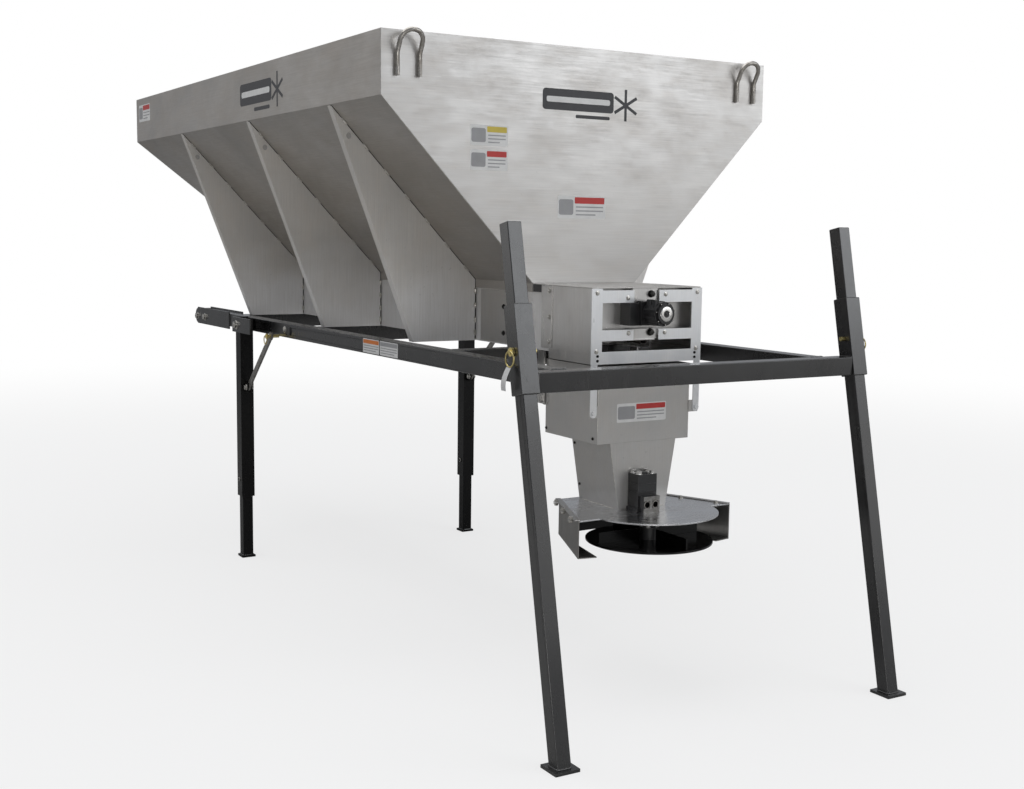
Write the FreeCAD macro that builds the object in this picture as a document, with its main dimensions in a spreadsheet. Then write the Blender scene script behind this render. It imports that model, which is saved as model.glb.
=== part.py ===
import FreeCAD, Part
import math
import os
import re

import Sketcher

# Slide-in V-box hopper spreader on a self-loading leg stand, in millimetres.
# +Z is up, +Y points to the truck's cab, and the origin is on the ground under the middle.

DRIVING_SIZES = {
    # hopper
    "half_width": 665, "hopper_top": 1800, "lip_bottom": 1626, "rim": 30, "sheet": 3,
    "slope_sheet": 4.2, "rear_wall": -810, "front_wall": 1590, "front_foot": 1090,
    "gusset_sheet": 5, "gusset_foot": 396, "gusset_flange": 28, "gusset_rear": -470,
    "gusset_middle": 221, "gusset_front": 954, "gusset_tip": 2, "tip_drop": 2.1,
    "flange_taper": 20, "tie_hole": 9, "tie_in": 58, "tie_down": 86, "hem": 25,
    "vee_half": 105, "vee_top": 1290, "vee_bottom": 1180, "vee_sheet": 5, "vee_start": -775,
    "vee_end": 1080,
    "brace_size": 40, "cross_rear": -199, "cross_front": 841, "cross_drop": 90,
    "loop_bar": 6.5, "loop_low": 1679, "loop_inner": 553, "loop_outer": 620, "loop_tilt": 28,
    "loop_straight": 34, "loop_knee": 62,
    # trough and its rear extension
    "trough_half": 178, "trough_top": 1121, "frame_top": 931, "trough_rear": -1123,
    "trough_front": 1480, "skirt_half": 185, "skirt_start": -925, "skirt_bottom": 912,
    "flange_inner": 153, "flange_outer": 188, "floor_top": 1048, "floor_rear": -830,
    "floor_front": 1330, "channel_foot": 28, "trough_start": -901, "lap_end": -865,
    "strip_end": -898, "skirt_crease": 940, "lower_lip": 946,
    # rear frame and gearbox plate
    "bar_left": 48, "bar_right": 38, "low_bar_low": 975, "low_bar_high": 1005,
    "high_bar_low": 1079, "high_bar_high": 1113, "plate_rear": -1088, "plate_low": 985,
    "plate_hole": 30, "tab_rear": -1118, "tab_sheet": 5, "low_tab_low": 978,
    "low_tab_high": 1006, "high_tab_low": 1083, "high_tab_high": 1118, "lip_end": 25,
    # feed gate
    "gate_half": 169, "gate_low": 1072, "gate_high": 1165, "gate_sheet": 4, "gate_lip": 26,
    "guide_deep": 8, "guide_low": 6, "guide_high": 90,
    # conveyor
    "shaft_height": 1007, "drive_y": -900, "idler_y": 1400, "shaft_radius": 16,
    "chain_inner": 44, "chain_outer": 60, "strand_middle": 112, "slat_half": 101,
    "slat_pitch": 160, "slat_width": 30, "slat_sheet": 10, "side_bar_inner": 6,
    "side_bar": 4, "tooth_root": 44, "tooth_tip": 57, "wheel_half": 4.5, "hub_wall": 12,
    "hub_half": 16, "bearing_half": 30, "bearing_deep": 10.5, "bearing_gap": 0.2,
    "roller_wheel": 28, "wheel_inset": 24, "wheel_width": 6, "chain_overhang": 2,
    "chain_depth": 8,
    # gearbox and conveyor motor
    "gearbox_half": 68, "motor_height": 1051, "gearbox_rear": -1135, "gearbox_front": -1020,
    "gearbox_low": 1016, "gearbox_high": 1078, "gearbox_inner_high": 1086, "neck_radius": 29.5,
    "output_y": -1044, "output_radius": 10, "socket_deep": 12, "motor_flange_half": 38,
    "motor_flange_deep": 12, "motor_flange_low": 34, "motor_flange_high": 31,
    "motor_radius": 33, "motor_rear": -1201, "cap_radius": 27, "cap_rear": -1209,
    "cap_deep": 10, "port_radius": 9, "port_x": 20, "port_high": 38, "front_port_y": -1161,
    "rear_port_y": -1185,
    # spinner chute
    "chute_half": 157, "chute_rear": -1119, "chute_front": -852, "chute_top": 905,
    "chute_bottom": 690, "hinge_y": -842, "hinge_height": 790, "taper_top_half": 113,
    "taper_low_half": 82, "taper_front": -925, "deck_top": 501, "deck_sheet": 4,
    "deck_radius": 195, "deck_centre": -1150, "deflector_front_x": 140,
    "deflector_front_y": -910, "deflector_rear_x": 258, "deflector_rear_y": -1190,
    "deflector_low": 397, "foot_turn": 52, "foot_rise": 10, "disc_radius": 178,
    "disc_y": -1155, "disc_height": 418, "disc_half": 3, "shaft_hole": 14,
    "hinge_radius": 8, "hinge_reach": 22, "lug_reach": 29, "lug_low": 25, "lug_high": 8,
    "latch_gap": 0.4, "ear_radius": 20, "ear_shift": 6, "hanger_inner": 6,
    "hanger_rear": 14, "hanger_front": 22, "hanger_drop": 16, "hanger_foot": 4,
    "hinge_nut": 13, "hinge_nut_place": 15, "hinge_nut_width": 8, "strap_inner": 166,
    "strap_outer": 187, "strap_drop": 14, "latch_bolt": 7, "latch_head": 6, "latch_drop": 11,
    # spinner motor, shaft and fins
    "spinner_flange_left": -54, "spinner_flange_right": 18, "spinner_flange_rear": 16,
    "spinner_flange_high": 10, "spinner_body_left": -50, "spinner_body_right": 13,
    "spinner_body_rear": 13, "spinner_body_front": 35, "spinner_body_high": 104,
    "block_left": -46, "block_right": 8, "block_rear": 35, "block_high": 46, "block_port": 8.5,
    "block_port_left": -35, "block_port_right": -7, "block_port_rise": 23, "block_port_deep": 16,
    "socket_high": 30,
    "spinner_bolt": 7, "spinner_bolt_inset": 10, "spinner_radius": 10,
    "shaft_drop": 16, "shaft_rise": 24, "hub_radius": 28, "hub_high": 34,
    "spinner_nut": 18, "spinner_nut_drop": 18, "spinner_nut_high": 15, "fin_inner": 34,
    "fin_inset": 8, "fin_half": 2, "fin_high": 32,
    # stand
    "tube": 50.8, "tube_wall": 3.2, "rail_outer": 455, "rail_front": 1415,
    "crossbar_front": -1340.2, "sleeve_x": 545, "sleeve_wall": 4.8, "sleeve_low": 894,
    "sleeve_high": 1115, "leg": 40, "leg_wall": 3, "leg_lean": 11.62, "leg_foot_y": -1555,
    "leg_length": 1316, "foot_half": 35, "foot_sheet": 8, "pin_radius": 6,
    "pin_along": 1000, "leg_travel": 100, "front_leg_x": 486, "front_leg_y": 793,
    "pivot_height": 905, "pivot_radius": 8, "upper_bottom": 241, "lower_top": 560,
    "lower_foot": 27, "stop_height": 307, "brace_low_y": 752, "brace_low_z": 668,
    "brace_high_y": 508, "brace_high_z": 881, "roller_y": 1450, "roller_height": 903,
    "roller_radius": 30, "roller_half": 22, "cheek_start": 1050, "second_tube": -777,
    "front_tube": 970, "pin_tail": 14, "pin_grip": 10, "pin_head": 11, "pin_head_deep": 7,
    "pull_ring": 19, "pull_wire": 2, "pull_drop": 17, "cheek_sheet": 6, "cheek_rear": 150,
    "cheek_front": 45, "pivot_tail": 4, "pivot_head": 13, "stop_head": 10, "stop_drop": 38,
    "stop_deep": 9, "ear_sheet": 5, "ear_rear": 13, "ear_half": 18, "ear_bolt_half": 16,
    "brace_sheet": 8, "brace_width": 22, "brace_eye": 14, "brace_head_place": 12,
    "brace_grip": 9, "brace_head": 10, "brace_head_deep": 6, "small_ring": 15,
    "small_wire": 1.8, "small_drop": 13, "roller_cheek": 5, "cheek_low": 33,
    "cheek_high": 35, "axle_reach": 10, "roller_nut": 12, "roller_nut_deep": 7,
    "roller_nut_drop": 2, "cheek_bolt_y": 1355,
    # fasteners
    "bar_bolt": 5, "bar_bolt_deep": 3, "tab_bolt": 9, "tab_bolt_reach": 4, "tab_bolt_x": 14,
    "strip_bolt": 6, "strip_bolt_deep": 4, "strip_bolt_y": -912, "foot_bolt": 9,
    "foot_bolt_deep": 6, "foot_bolt_y": 17,
    # running clearance, working gaps, and how far a cutting tool reaches beyond its work
    "fit": 0.05, "slack": 0.5, "gap": 1, "margin": 10,
}
BAR_BOLTS = (
    (-171, 1106), (-171, 947), (171, 1106), (171, 947),
    (-69, 1092), (59, 1101), (-65, 995), (59, 995),
)
TAB_BOLTS = (996, 1102)
STRIP_BOLTS = (960, 1030, 1104)
FOOT_BOLTS = (40, 140)
SPROCKET_TEETH = 8

doc = FreeCAD.newDocument("hopper_spreader")
sheet = doc.addObject("Spreadsheet::Sheet", "Sizes")
for row, (alias, value) in enumerate(DRIVING_SIZES.items(), start=1):
    sheet.set(f"A{row}", alias)
    sheet.set(f"B{row}", str(value))
    sheet.setAlias(f"B{row}", alias)
doc.recompute()

parts = []
TURN_TO = {
    "x": FreeCAD.Rotation(FreeCAD.Vector(0, 1, 0), 90),
    "y": FreeCAD.Rotation(FreeCAD.Vector(1, 0, 0), -90),
    "z": FreeCAD.Rotation(),
}
SIDES = {"left": -1, "right": 1}


def cell(text):
    """Turn #name into a reference to the sheet's cell of that name."""
    return re.sub(r"#(\w+)", r"Sizes.\1", text)


def size(alias):
    """The number in the sheet's cell of that name."""
    return float(sheet.get(alias))


def across(side, inner, outer):
    """The span between two distances from the middle plane, on one side of it."""
    return (inner, outer) if side > 0 else (f"-({outer})", f"-({inner})")


def block(name, x_span, y_span, z_span):
    """A box between two places along each axis."""
    piece = doc.addObject("Part::Box", name)
    spans = zip(("Length", "Width", "Height"), "xyz", (x_span, y_span, z_span))
    for prop, axis, (low, high) in spans:
        piece.setExpression(prop, cell(f"({high}) - ({low})"))
        piece.setExpression(f"Placement.Base.{axis}", cell(low))
    return piece


def rod(name, radius, axis, start, length):
    """A round bar from a start point along one axis."""
    piece = doc.addObject("Part::Cylinder", name)
    piece.Placement = FreeCAD.Placement(FreeCAD.Vector(), TURN_TO[axis])
    piece.setExpression("Radius", cell(radius))
    piece.setExpression("Height", cell(length))
    for letter, place in zip("xyz", start):
        piece.setExpression(f"Placement.Base.{letter}", cell(place))
    return piece


def hexagon(name, radius, axis, start, length):
    """A six-sided bolt head or nut."""
    piece = doc.addObject("Part::Prism", name)
    piece.Polygon = 6
    piece.Placement = FreeCAD.Placement(FreeCAD.Vector(), TURN_TO[axis])
    piece.setExpression("Circumradius", cell(radius))
    piece.setExpression("Height", cell(length))
    for letter, place in zip("xyz", start):
        piece.setExpression(f"Placement.Base.{letter}", cell(place))
    return piece


def ring(name, radius, wire, centre, axis):
    """A round wire ring about a centre."""
    piece = doc.addObject("Part::Torus", name)
    piece.Placement = FreeCAD.Placement(FreeCAD.Vector(), TURN_TO[axis])
    piece.setExpression("Radius1", cell(radius))
    piece.setExpression("Radius2", cell(wire))
    for letter, place in zip("xyz", centre):
        piece.setExpression(f"Placement.Base.{letter}", cell(place))
    return piece


def fuse(name, pieces):
    """One solid from pieces that overlap or touch."""
    joined = doc.addObject("Part::MultiFuse", name)
    joined.Shapes = pieces
    return joined


def cut(name, base, tools):
    """A piece with tools taken away."""
    result = doc.addObject("Part::Cut", name)
    result.Base = base
    result.Tool = tools[0] if len(tools) == 1 else fuse(f"{name}_tools", tools)
    return result


def group(name, pieces):
    """Separate solids that share one name."""
    together = doc.addObject("Part::Compound", name)
    together.Links = pieces
    return together


def outline(body, name, plane, points, start):
    """A closed sketch whose corners are held by the sheet, on a plane of the body's origin."""
    sketch = body.newObject("Sketcher::SketchObject", name)
    support = [item for item in body.Origin.OriginFeatures if item.Role == f"{plane}_Plane"]
    sketch.AttachmentSupport = [(support[0], "")]
    sketch.MapMode = "FlatFace"
    sign = "-" if plane == "XZ" else ""
    sketch.setExpression("AttachmentOffset.Base.z", cell(f"{sign}({start})"))
    places = [FreeCAD.Vector(evaluate(u), evaluate(v), 0) for u, v in points]
    for index, place in enumerate(places):
        after = places[(index + 1) % len(places)]
        sketch.addGeometry(Part.LineSegment(place, after))
    for index, (texts, place) in enumerate(zip(points, places)):
        after = (index + 1) % len(points)
        sketch.addConstraint(Sketcher.Constraint("Coincident", index, 2, after, 1))
        for kind, text, value in zip(("DistanceX", "DistanceY"), texts, place):
            number = sketch.addConstraint(Sketcher.Constraint(kind, index, 1, value))
            sketch.setExpression(f"Constraints[{number}]", cell(text))
    return sketch


def evaluate(text):
    """The number that an expression gives."""
    return float(sheet.evalExpression(re.sub(r"#(\w+)", r"\1", text)))


def prism(name, plane, points, start, depth):
    """A body padded from an outline, from start towards the plane's positive side."""
    body = doc.addObject("PartDesign::Body", name)
    sketch = outline(body, f"{name}_outline", plane, points, start)
    pad = body.newObject("PartDesign::Pad", f"{name}_pad")
    pad.Profile = sketch
    pad.Reversed = plane == "XZ"
    pad.setExpression("Length", cell(depth))
    return body


def pocket(body, name, plane, points, start, depth):
    """Take an outline away from a body, from start towards the plane's positive side."""
    doc.recompute()
    before = body.Shape.Volume
    sketch = outline(body, f"{name}_outline", plane, points, start)
    feature = body.newObject("PartDesign::Pocket", name)
    feature.Profile = sketch
    feature.Reversed = plane != "XZ"
    feature.setExpression("Length", cell(depth))
    doc.recompute()
    if body.Shape.Volume >= before:
        raise RuntimeError(f"{name} takes nothing away")
    return body


def band(name, first, second, radii, x_span):
    """A belt-like loop around two parallel shafts, as its own shape."""
    def loop(radius):
        run = (second - first).normalize()
        lift = FreeCAD.Vector(1, 0, 0).cross(run) * radius
        top = Part.LineSegment(first + lift, second + lift)
        far = Part.Arc(second + lift, second + run * radius, second - lift)
        low = Part.LineSegment(second - lift, first - lift)
        near = Part.Arc(first - lift, first - run * radius, first + lift)
        return Part.Face(Part.Wire([edge.toShape() for edge in (top, far, low, near)]))

    low, high = x_span
    face = loop(radii[1]).cut(loop(radii[0]))
    piece = doc.addObject("Part::Feature", name)
    piece.Shape = face.extrude(FreeCAD.Vector(high - low, 0, 0)).Solids[0]
    piece.Placement = FreeCAD.Placement(FreeCAD.Vector(low, 0, 0), FreeCAD.Rotation())
    return piece


def toothed_wheel(name, teeth, radii, centre, x_span):
    """A plate sprocket with straight-flanked teeth, as its own shape."""
    root, tip = radii
    step = 2 * math.pi / teeth
    corners = []
    for tooth in range(teeth):
        for radius, share in ((root, -0.30), (tip, -0.13), (tip, 0.13), (root, 0.30)):
            angle = (tooth + share) * step
            corners.append(FreeCAD.Vector(0, radius * math.cos(angle), radius * math.sin(angle)))
    wire = Part.makePolygon(corners + corners[:1])
    low, high = x_span
    piece = doc.addObject("Part::Feature", name)
    piece.Shape = Part.Face(wire).extrude(FreeCAD.Vector(high - low, 0, 0))
    piece.Placement = FreeCAD.Placement(centre + FreeCAD.Vector(low, 0, 0), FreeCAD.Rotation())
    return piece


def keep(name, piece):
    """Give a finished sub-part its name."""
    piece.Label = name
    parts.append(piece)
    return piece


# ---------------------------------------------------------------- hopper

def slope_points(side):
    """The bent side sheet from rim to trough, seen along the hopper."""
    skirt = "#trough_half + #sheet"
    corners = [
        ("#half_width - #rim", "#hopper_top"),
        ("#half_width", "#hopper_top"),
        ("#half_width", "#lip_bottom"),
        (skirt, "#trough_top"),
        (skirt, "#trough_top - #hem"),
        ("#trough_half", "#trough_top - #hem"),
        ("#trough_half", "#trough_top + #sheet"),
        ("#half_width - #sheet", "#lip_bottom + #slope_sheet - #sheet"),
        ("#half_width - #sheet", "#hopper_top - #sheet"),
        ("#half_width - #rim", "#hopper_top - #sheet"),
    ]
    return [(f"{side}*({x})", z) for x, z in corners]


def hopper_side(name, side):
    panel = prism(f"{name}_sheet", "XZ", slope_points(side), "#rear_wall + #sheet",
                  "#front_wall - #rear_wall - 2*#sheet")
    beyond = [
        ("#front_wall - #sheet", "#hopper_top + #margin"),
        ("#front_wall - #sheet", "#lip_bottom + #slope_sheet - #sheet"),
        ("#front_foot - #slope_sheet", "#trough_top"),
        ("#front_foot - #slope_sheet", "#trough_top - #hem - #margin"),
        ("#front_wall + #margin", "#trough_top - #hem - #margin"),
        ("#front_wall + #margin", "#hopper_top + #margin"),
    ]
    pocket(panel, f"{name}_front_trim", "YZ", beyond, "-#half_width - #margin", "2*#half_width + 2*#margin")
    return keep(name, panel)


def hopper_rear_wall():
    wall = prism("rear_wall_sheet", "XZ", [
        ("-#half_width", "#hopper_top"), ("-#half_width", "#lip_bottom"),
        ("-#trough_half - #sheet", "#trough_top"), ("#trough_half + #sheet", "#trough_top"),
        ("#half_width", "#lip_bottom"), ("#half_width", "#hopper_top"),
    ], "#rear_wall", "#sheet")
    rim = block("rear_wall_rim", ("-#half_width + #rim", "#half_width - #rim"),
                ("#rear_wall + #sheet", "#rear_wall + #rim"),
                ("#hopper_top - #sheet", "#hopper_top"))
    guides = []
    for label, side in SIDES.items():
        guides.append(block(f"gate_guide_{label}", across(side, "#gate_half + #gap", "#trough_half"),
                            ("#rear_wall + #sheet", "#rear_wall + #sheet + #guide_deep"),
                            ("#trough_top + #guide_low", "#trough_top + #guide_high")))
    return keep("hopper_rear_wall", fuse("hopper_rear_wall", [wall, rim] + guides))


def hopper_front_wall():
    profile = [
        ("#front_wall - #rim", "#hopper_top"),
        ("#front_wall", "#hopper_top"),
        ("#front_wall", "#lip_bottom"),
        ("#front_foot", "#trough_top"),
        ("#front_foot - #slope_sheet", "#trough_top"),
        ("#front_wall - #sheet", "#lip_bottom + #slope_sheet - #sheet"),
        ("#front_wall - #sheet", "#hopper_top - #sheet"),
        ("#front_wall - #rim", "#hopper_top - #sheet"),
    ]
    wall = prism("front_wall_sheet", "YZ", profile, "-#half_width", "2*#half_width")
    for label, side in SIDES.items():
        corner = [
            (f"{side}*#half_width", "#lip_bottom"),
            (f"{side}*(#half_width + #margin)", "#lip_bottom"),
            (f"{side}*(#half_width + #margin)", "#trough_top - #margin"),
            (f"{side}*(#trough_half + #sheet)", "#trough_top - #margin"),
            (f"{side}*(#trough_half + #sheet)", "#trough_top"),
        ]
        pocket(wall, f"front_wall_trim_{label}", "XZ", corner, "#front_foot - #slope_sheet - #margin",
               "#front_wall - #front_foot + #slope_sheet + 2*#margin")
        shelf = [
            (f"{side}*(#half_width - #rim)", "#hopper_top + #margin"),
            (f"{side}*(#half_width + #margin)", "#hopper_top + #margin"),
            (f"{side}*(#half_width + #margin)", "#hopper_top - #sheet - #gap"),
            (f"{side}*(#half_width - #rim)", "#hopper_top - #sheet - #gap"),
        ]
        pocket(wall, f"front_rim_notch_{label}", "XZ", shelf, "#front_wall - #rim - #margin",
               "#rim + #margin - #sheet")
    return keep("hopper_front_wall", wall)


def gusset(name, side, place):
    """A triangular side plate with its outer edge bent forward and a tie-down hole."""
    edge_x = "#half_width - #gusset_foot"
    edge_z = "#lip_bottom - #frame_top"
    plate_points = [
        ("#half_width - #gusset_tip", "#lip_bottom - #tip_drop"),
        ("#trough_half + #sheet", "#trough_top"),
        ("#trough_half + #sheet", "#frame_top"),
        ("#gusset_foot", "#frame_top"),
    ]
    flange_points = [
        ("#half_width - #gusset_tip", "#lip_bottom - #tip_drop"),
        ("#gusset_foot", "#frame_top"),
        ("#gusset_foot - #gusset_sheet", "#frame_top"),
        (f"#half_width - #gusset_tip - #gusset_sheet - #flange_taper*({edge_x})/({edge_z})",
         "#lip_bottom - #tip_drop - #flange_taper"),
    ]
    plate = prism(f"{name}_plate", "XZ", [(f"{side}*({x})", z) for x, z in plate_points],
                  place, "#gusset_sheet")
    flange = prism(f"{name}_flange", "XZ", [(f"{side}*({x})", z) for x, z in flange_points],
                   f"{place} + #gusset_sheet", "#gusset_flange - #gusset_sheet")
    foot = block(f"{name}_foot", across(side, "#trough_half + #sheet", "#gusset_foot - #gusset_sheet"),
                 (f"{place} + #gusset_sheet", f"{place} + #gusset_flange"),
                 ("#frame_top", "#frame_top + #gusset_sheet"))
    hole = rod(f"{name}_tie_hole", "#tie_hole", "y",
               (f"{side}*(#half_width - #tie_in)", f"{place} - #margin", "#lip_bottom - #tie_down"),
               "#gusset_sheet + 2*#margin")
    return cut(name, fuse(f"{name}_welded", [plate, flange, foot]), [hole])


def inverted_vee():
    """The ridge that takes the load's weight off the chain, on three saddles between the side sheets."""
    ridge = prism("vee_ridge", "XZ", [
        ("-#vee_half", "#vee_bottom"), ("0", "#vee_top"), ("#vee_half", "#vee_bottom"),
        ("#vee_half - #vee_sheet", "#vee_bottom"), ("0", "#vee_top - #vee_sheet"),
        ("-#vee_half + #vee_sheet", "#vee_bottom"),
    ], "#vee_start", "#vee_end - #vee_start")
    slope = "(#half_width - #trough_half - #sheet)/(#lip_bottom - #slope_sheet - #trough_top)"
    low = "#trough_top + #slope_sheet"
    wide = f"#trough_half - #sheet + ({slope})*(#vee_bottom - ({low}))"
    profile = [("-#trough_half + #sheet", low), (f"-({wide})", "#vee_bottom"), (wide, "#vee_bottom"),
               ("#trough_half - #sheet", low)]
    saddles = [prism(f"vee_saddle_{number}", "XZ", profile, place, "#gusset_sheet")
               for number, place in enumerate(("#vee_start", "#cross_rear", "#cross_front"))]
    return keep("inverted_vee", fuse("inverted_vee", [ridge] + saddles))


def cross_braces():
    """Square tubes from side to side near the hopper's top."""
    braces = []
    low = "#hopper_top - #cross_drop"
    for label, place in (("rear", "#cross_rear"), ("front", "#cross_front")):
        reach = ("-#half_width + #sheet", "#half_width - #sheet")
        outer = block(f"brace_{label}_outer", reach, (place, f"{place} + #brace_size"),
                      (low, f"{low} + #brace_size"))
        inner = block(f"brace_{label}_inner", reach, (f"{place} + #sheet", f"{place} + #brace_size - #sheet"),
                      (f"{low} + #sheet", f"{low} + #brace_size - #sheet"))
        braces.append(cut(f"brace_{label}", outer, [inner]))
    return keep("cross_braces", group("cross_braces", braces))


def lifting_loop(name, side):
    """A bent round bar: two upright legs on the wall and a bow that leans away from it."""
    bar = size("loop_bar")
    face = size("rear_wall") - bar
    knee = size("hopper_top") - size("loop_knee")
    inner, outer = sorted((side * size("loop_inner"), side * size("loop_outer")))
    bend = (outer - inner) / 2
    tilt = FreeCAD.Rotation(FreeCAD.Vector(1, 0, 0), size("loop_tilt"))
    up = tilt.multVec(FreeCAD.Vector(0, 0, 1))
    feet = [FreeCAD.Vector(x, face, size("loop_low")) for x in (inner, outer)]
    knees = [FreeCAD.Vector(x, face, knee) for x in (inner, outer)]
    shoulders = [place + up * size("loop_straight") for place in knees]
    crown = (shoulders[0] + shoulders[1]) / 2 + up * bend
    path = Part.Wire([
        Part.makeLine(knees[0], shoulders[0]),
        Part.Arc(shoulders[0], crown, shoulders[1]).toShape(),
        Part.makeLine(shoulders[1], knees[1]),
    ])
    section = Part.Wire(Part.makeCircle(bar, knees[0], up))
    bow = path.makePipeShell([section], True, True)
    solids = [Part.makeSphere(bar, place) for place in knees]
    solids += [Part.makeCylinder(bar, knee - place.z, place) for place in feet]
    piece = doc.addObject("Part::Feature", name)
    piece.Shape = bow.multiFuse(solids)
    piece.Placement = FreeCAD.Placement()
    return piece


# ---------------------------------------------------------------- trough and extension

def trough_side(name, side):
    """A long channel: side sheet with a foot turned inwards under the conveyor."""
    points = [
        ("#trough_half", "#trough_top"), ("#trough_half", "#frame_top"),
        ("#trough_half - #channel_foot", "#frame_top"),
        ("#trough_half - #channel_foot", "#frame_top + #sheet"),
        ("#trough_half - #sheet", "#frame_top + #sheet"), ("#trough_half - #sheet", "#trough_top"),
    ]
    return keep(name, prism(name, "XZ", [(f"{side}*({x})", z) for x, z in points],
                            "#trough_start", "#trough_front - #trough_start"))


def extension_skirt(name, side):
    """The side sheet of the rear extension, lapped outside the trough and bolted to it."""
    outer = block(f"{name}_upper", across(side, "#skirt_half - #sheet", "#skirt_half"),
                  ("#trough_rear", "#lap_end"), ("#skirt_crease", "#trough_top - #sheet"))
    lower = block(f"{name}_lower", across(side, "#skirt_half - 2*#sheet", "#skirt_half - #sheet"),
                  ("#trough_rear", "#trough_start - #gap"), ("#skirt_bottom", "#lower_lip"))
    lap = block(f"{name}_lap", across(side, "#trough_half", "#skirt_half - #sheet"),
                ("#trough_start", "#lap_end"), ("#lower_lip", "#trough_top - #hem - #gap"))
    strip = block(f"{name}_strip", across(side, "#skirt_half", "#skirt_half + #sheet"),
                  ("#skirt_start", "#strip_end"), ("#lower_lip - #gap", "#trough_top - #sheet"))
    return fuse(name, [outer, lower, lap, strip])


def rear_frame():
    """The open rear face: two upright angles, four short bars and the bottom bar."""
    face = ("#trough_rear - #sheet", "#trough_rear")
    pieces = []
    for label, side in SIDES.items():
        pieces.append(block(f"upright_{label}", across(side, "#flange_inner", "#flange_outer"),
                            face, ("#skirt_bottom", "#trough_top - #sheet")))
        for level in ("low", "high"):
            pieces.append(block(f"rear_bar_{level}_{label}", across(side, f"#bar_{label}", "#flange_inner"),
                                face, (f"#{level}_bar_low", f"#{level}_bar_high")))
    pieces.append(block("rear_bottom_bar", ("-#flange_inner", "#flange_inner"), face,
                        ("#skirt_bottom", "#lower_lip")))
    return keep("rear_frame", group("rear_frame", pieces))


def gearbox_plate():
    """The plate behind the rear bars that carries the gearbox, with a tab above and below."""
    back = block("gearbox_plate_back", ("-#skirt_half + #sheet", "#skirt_half - #sheet"),
                 ("#plate_rear", "#plate_rear + #tab_sheet"), ("#plate_low", "#trough_top - #sheet"))
    tabs = []
    for level in ("low", "high"):
        rise = (f"#{level}_tab_low", f"#{level}_tab_high")
        tabs.append(block(f"gearbox_tab_{level}", ("-#bar_left", "#bar_right"),
                          ("#tab_rear", "#tab_rear + #tab_sheet"), rise))
        for label, low_x in (("left", "-#bar_left"), ("right", "#bar_right - #tab_sheet")):
            tabs.append(block(f"gearbox_web_{level}_{label}", (low_x, f"{low_x} + #tab_sheet"),
                              ("#tab_rear + #tab_sheet", "#plate_rear"), rise))
    lip = block("gearbox_plate_lip", ("-#bar_left", "#lip_end"),
                ("#trough_rear - #sheet", "#tab_rear + #tab_sheet"), ("#low_bar_low", "#low_tab_low"))
    opening = rod("gearbox_plate_hole", "#plate_hole", "y",
                  ("0", "#plate_rear - #margin", "#motor_height"), "#tab_sheet + 2*#margin")
    welded = fuse("gearbox_plate_welded", [back, lip] + tabs)
    return keep("gearbox_plate", cut("gearbox_plate", welded, [opening]))


def trough_covers():
    """Flat lids over the extension and the trough's front, and the front end plate."""
    level = ("#trough_top - #sheet", "#trough_top")
    wide = block("cover_rear_wide", ("-#skirt_half", "#skirt_half"), ("#trough_rear", "#trough_start"), level)
    narrow = block("cover_rear_narrow", ("-#trough_half + #sheet", "#trough_half - #sheet"),
                   ("#trough_start", "#rear_wall"), level)
    rear = fuse("cover_rear", [wide, narrow])
    front = block("cover_front", ("-#trough_half + #sheet", "#trough_half - #sheet"),
                  ("#front_foot", "#trough_front - #sheet"), level)
    end = block("cover_end", ("-#trough_half + #sheet", "#trough_half - #sheet"),
                ("#trough_front - #sheet", "#trough_front"), ("#frame_top + #sheet", "#trough_top"))
    return keep("trough_covers", group("trough_covers", [rear, front, end]))


def conveyor_floor():
    """The deck that the upper run slides on, from side to side between the shafts."""
    return keep("conveyor_floor", block(
        "conveyor_floor", ("-#trough_half + #sheet", "#trough_half - #sheet"),
        ("#floor_rear", "#floor_front"), ("#floor_top - #sheet", "#floor_top")))


def feed_gate():
    """The plate inside the rear wall that sets how much leaves the hopper."""
    rear = "#rear_wall + #sheet + #slack"
    plate = block("feed_gate_plate", ("-#gate_half", "#gate_half"), (rear, f"{rear} + #gate_sheet"),
                  ("#gate_low", "#gate_high"))
    lip = block("feed_gate_lip", ("-#gate_half", "#gate_half"),
                (f"{rear} + #gate_sheet", "#rear_wall + #sheet + #gate_lip"),
                ("#gate_high - #gate_sheet", "#gate_high"))
    return keep("feed_gate", fuse("feed_gate", [plate, lip]))


# ---------------------------------------------------------------- conveyor

def conveyor_shaft(name, place):
    return keep(name, rod(name, "#shaft_radius", "x",
                          ("-#trough_half + #sheet + #slack", place, "#shaft_height"),
                          "2*(#trough_half - #sheet - #slack)"))


def sprocket_pair(name, alias, extra):
    """Two toothed wheels pressed on a shaft, one for each strand."""
    centre = FreeCAD.Vector(0, size(alias), size("shaft_height"))
    radii = (size("tooth_root"), size("tooth_tip"))
    half = size("wheel_half")
    wheels = []
    for label, side in SIDES.items():
        middle = side * size("strand_middle")
        blank = toothed_wheel(f"{name}_{label}_blank", SPROCKET_TEETH, radii, centre,
                              (middle - half, middle + half))
        hub = rod(f"{name}_{label}_hub", "#shaft_radius + #hub_wall", "x",
                  (f"{side}*#strand_middle - #hub_half", f"#{alias}", "#shaft_height"), "2*#hub_half")
        bore = rod(f"{name}_{label}_bore", "#shaft_radius", "x",
                   (f"{side}*#strand_middle - #hub_half - #margin", f"#{alias}", "#shaft_height"),
                   "2*#hub_half + 2*#margin")
        wheels.append(cut(f"{name}_{label}", fuse(f"{name}_{label}_wheel", [blank, hub]), [bore]))
    return keep(name, group(name, wheels + extra))


def roller_wheel(name, place, height):
    """A small plain wheel for the roller chain at the right-hand side."""
    return rod(name, "#roller_wheel", "x", ("#trough_half - #wheel_inset", place, height), "#wheel_width")


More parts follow.
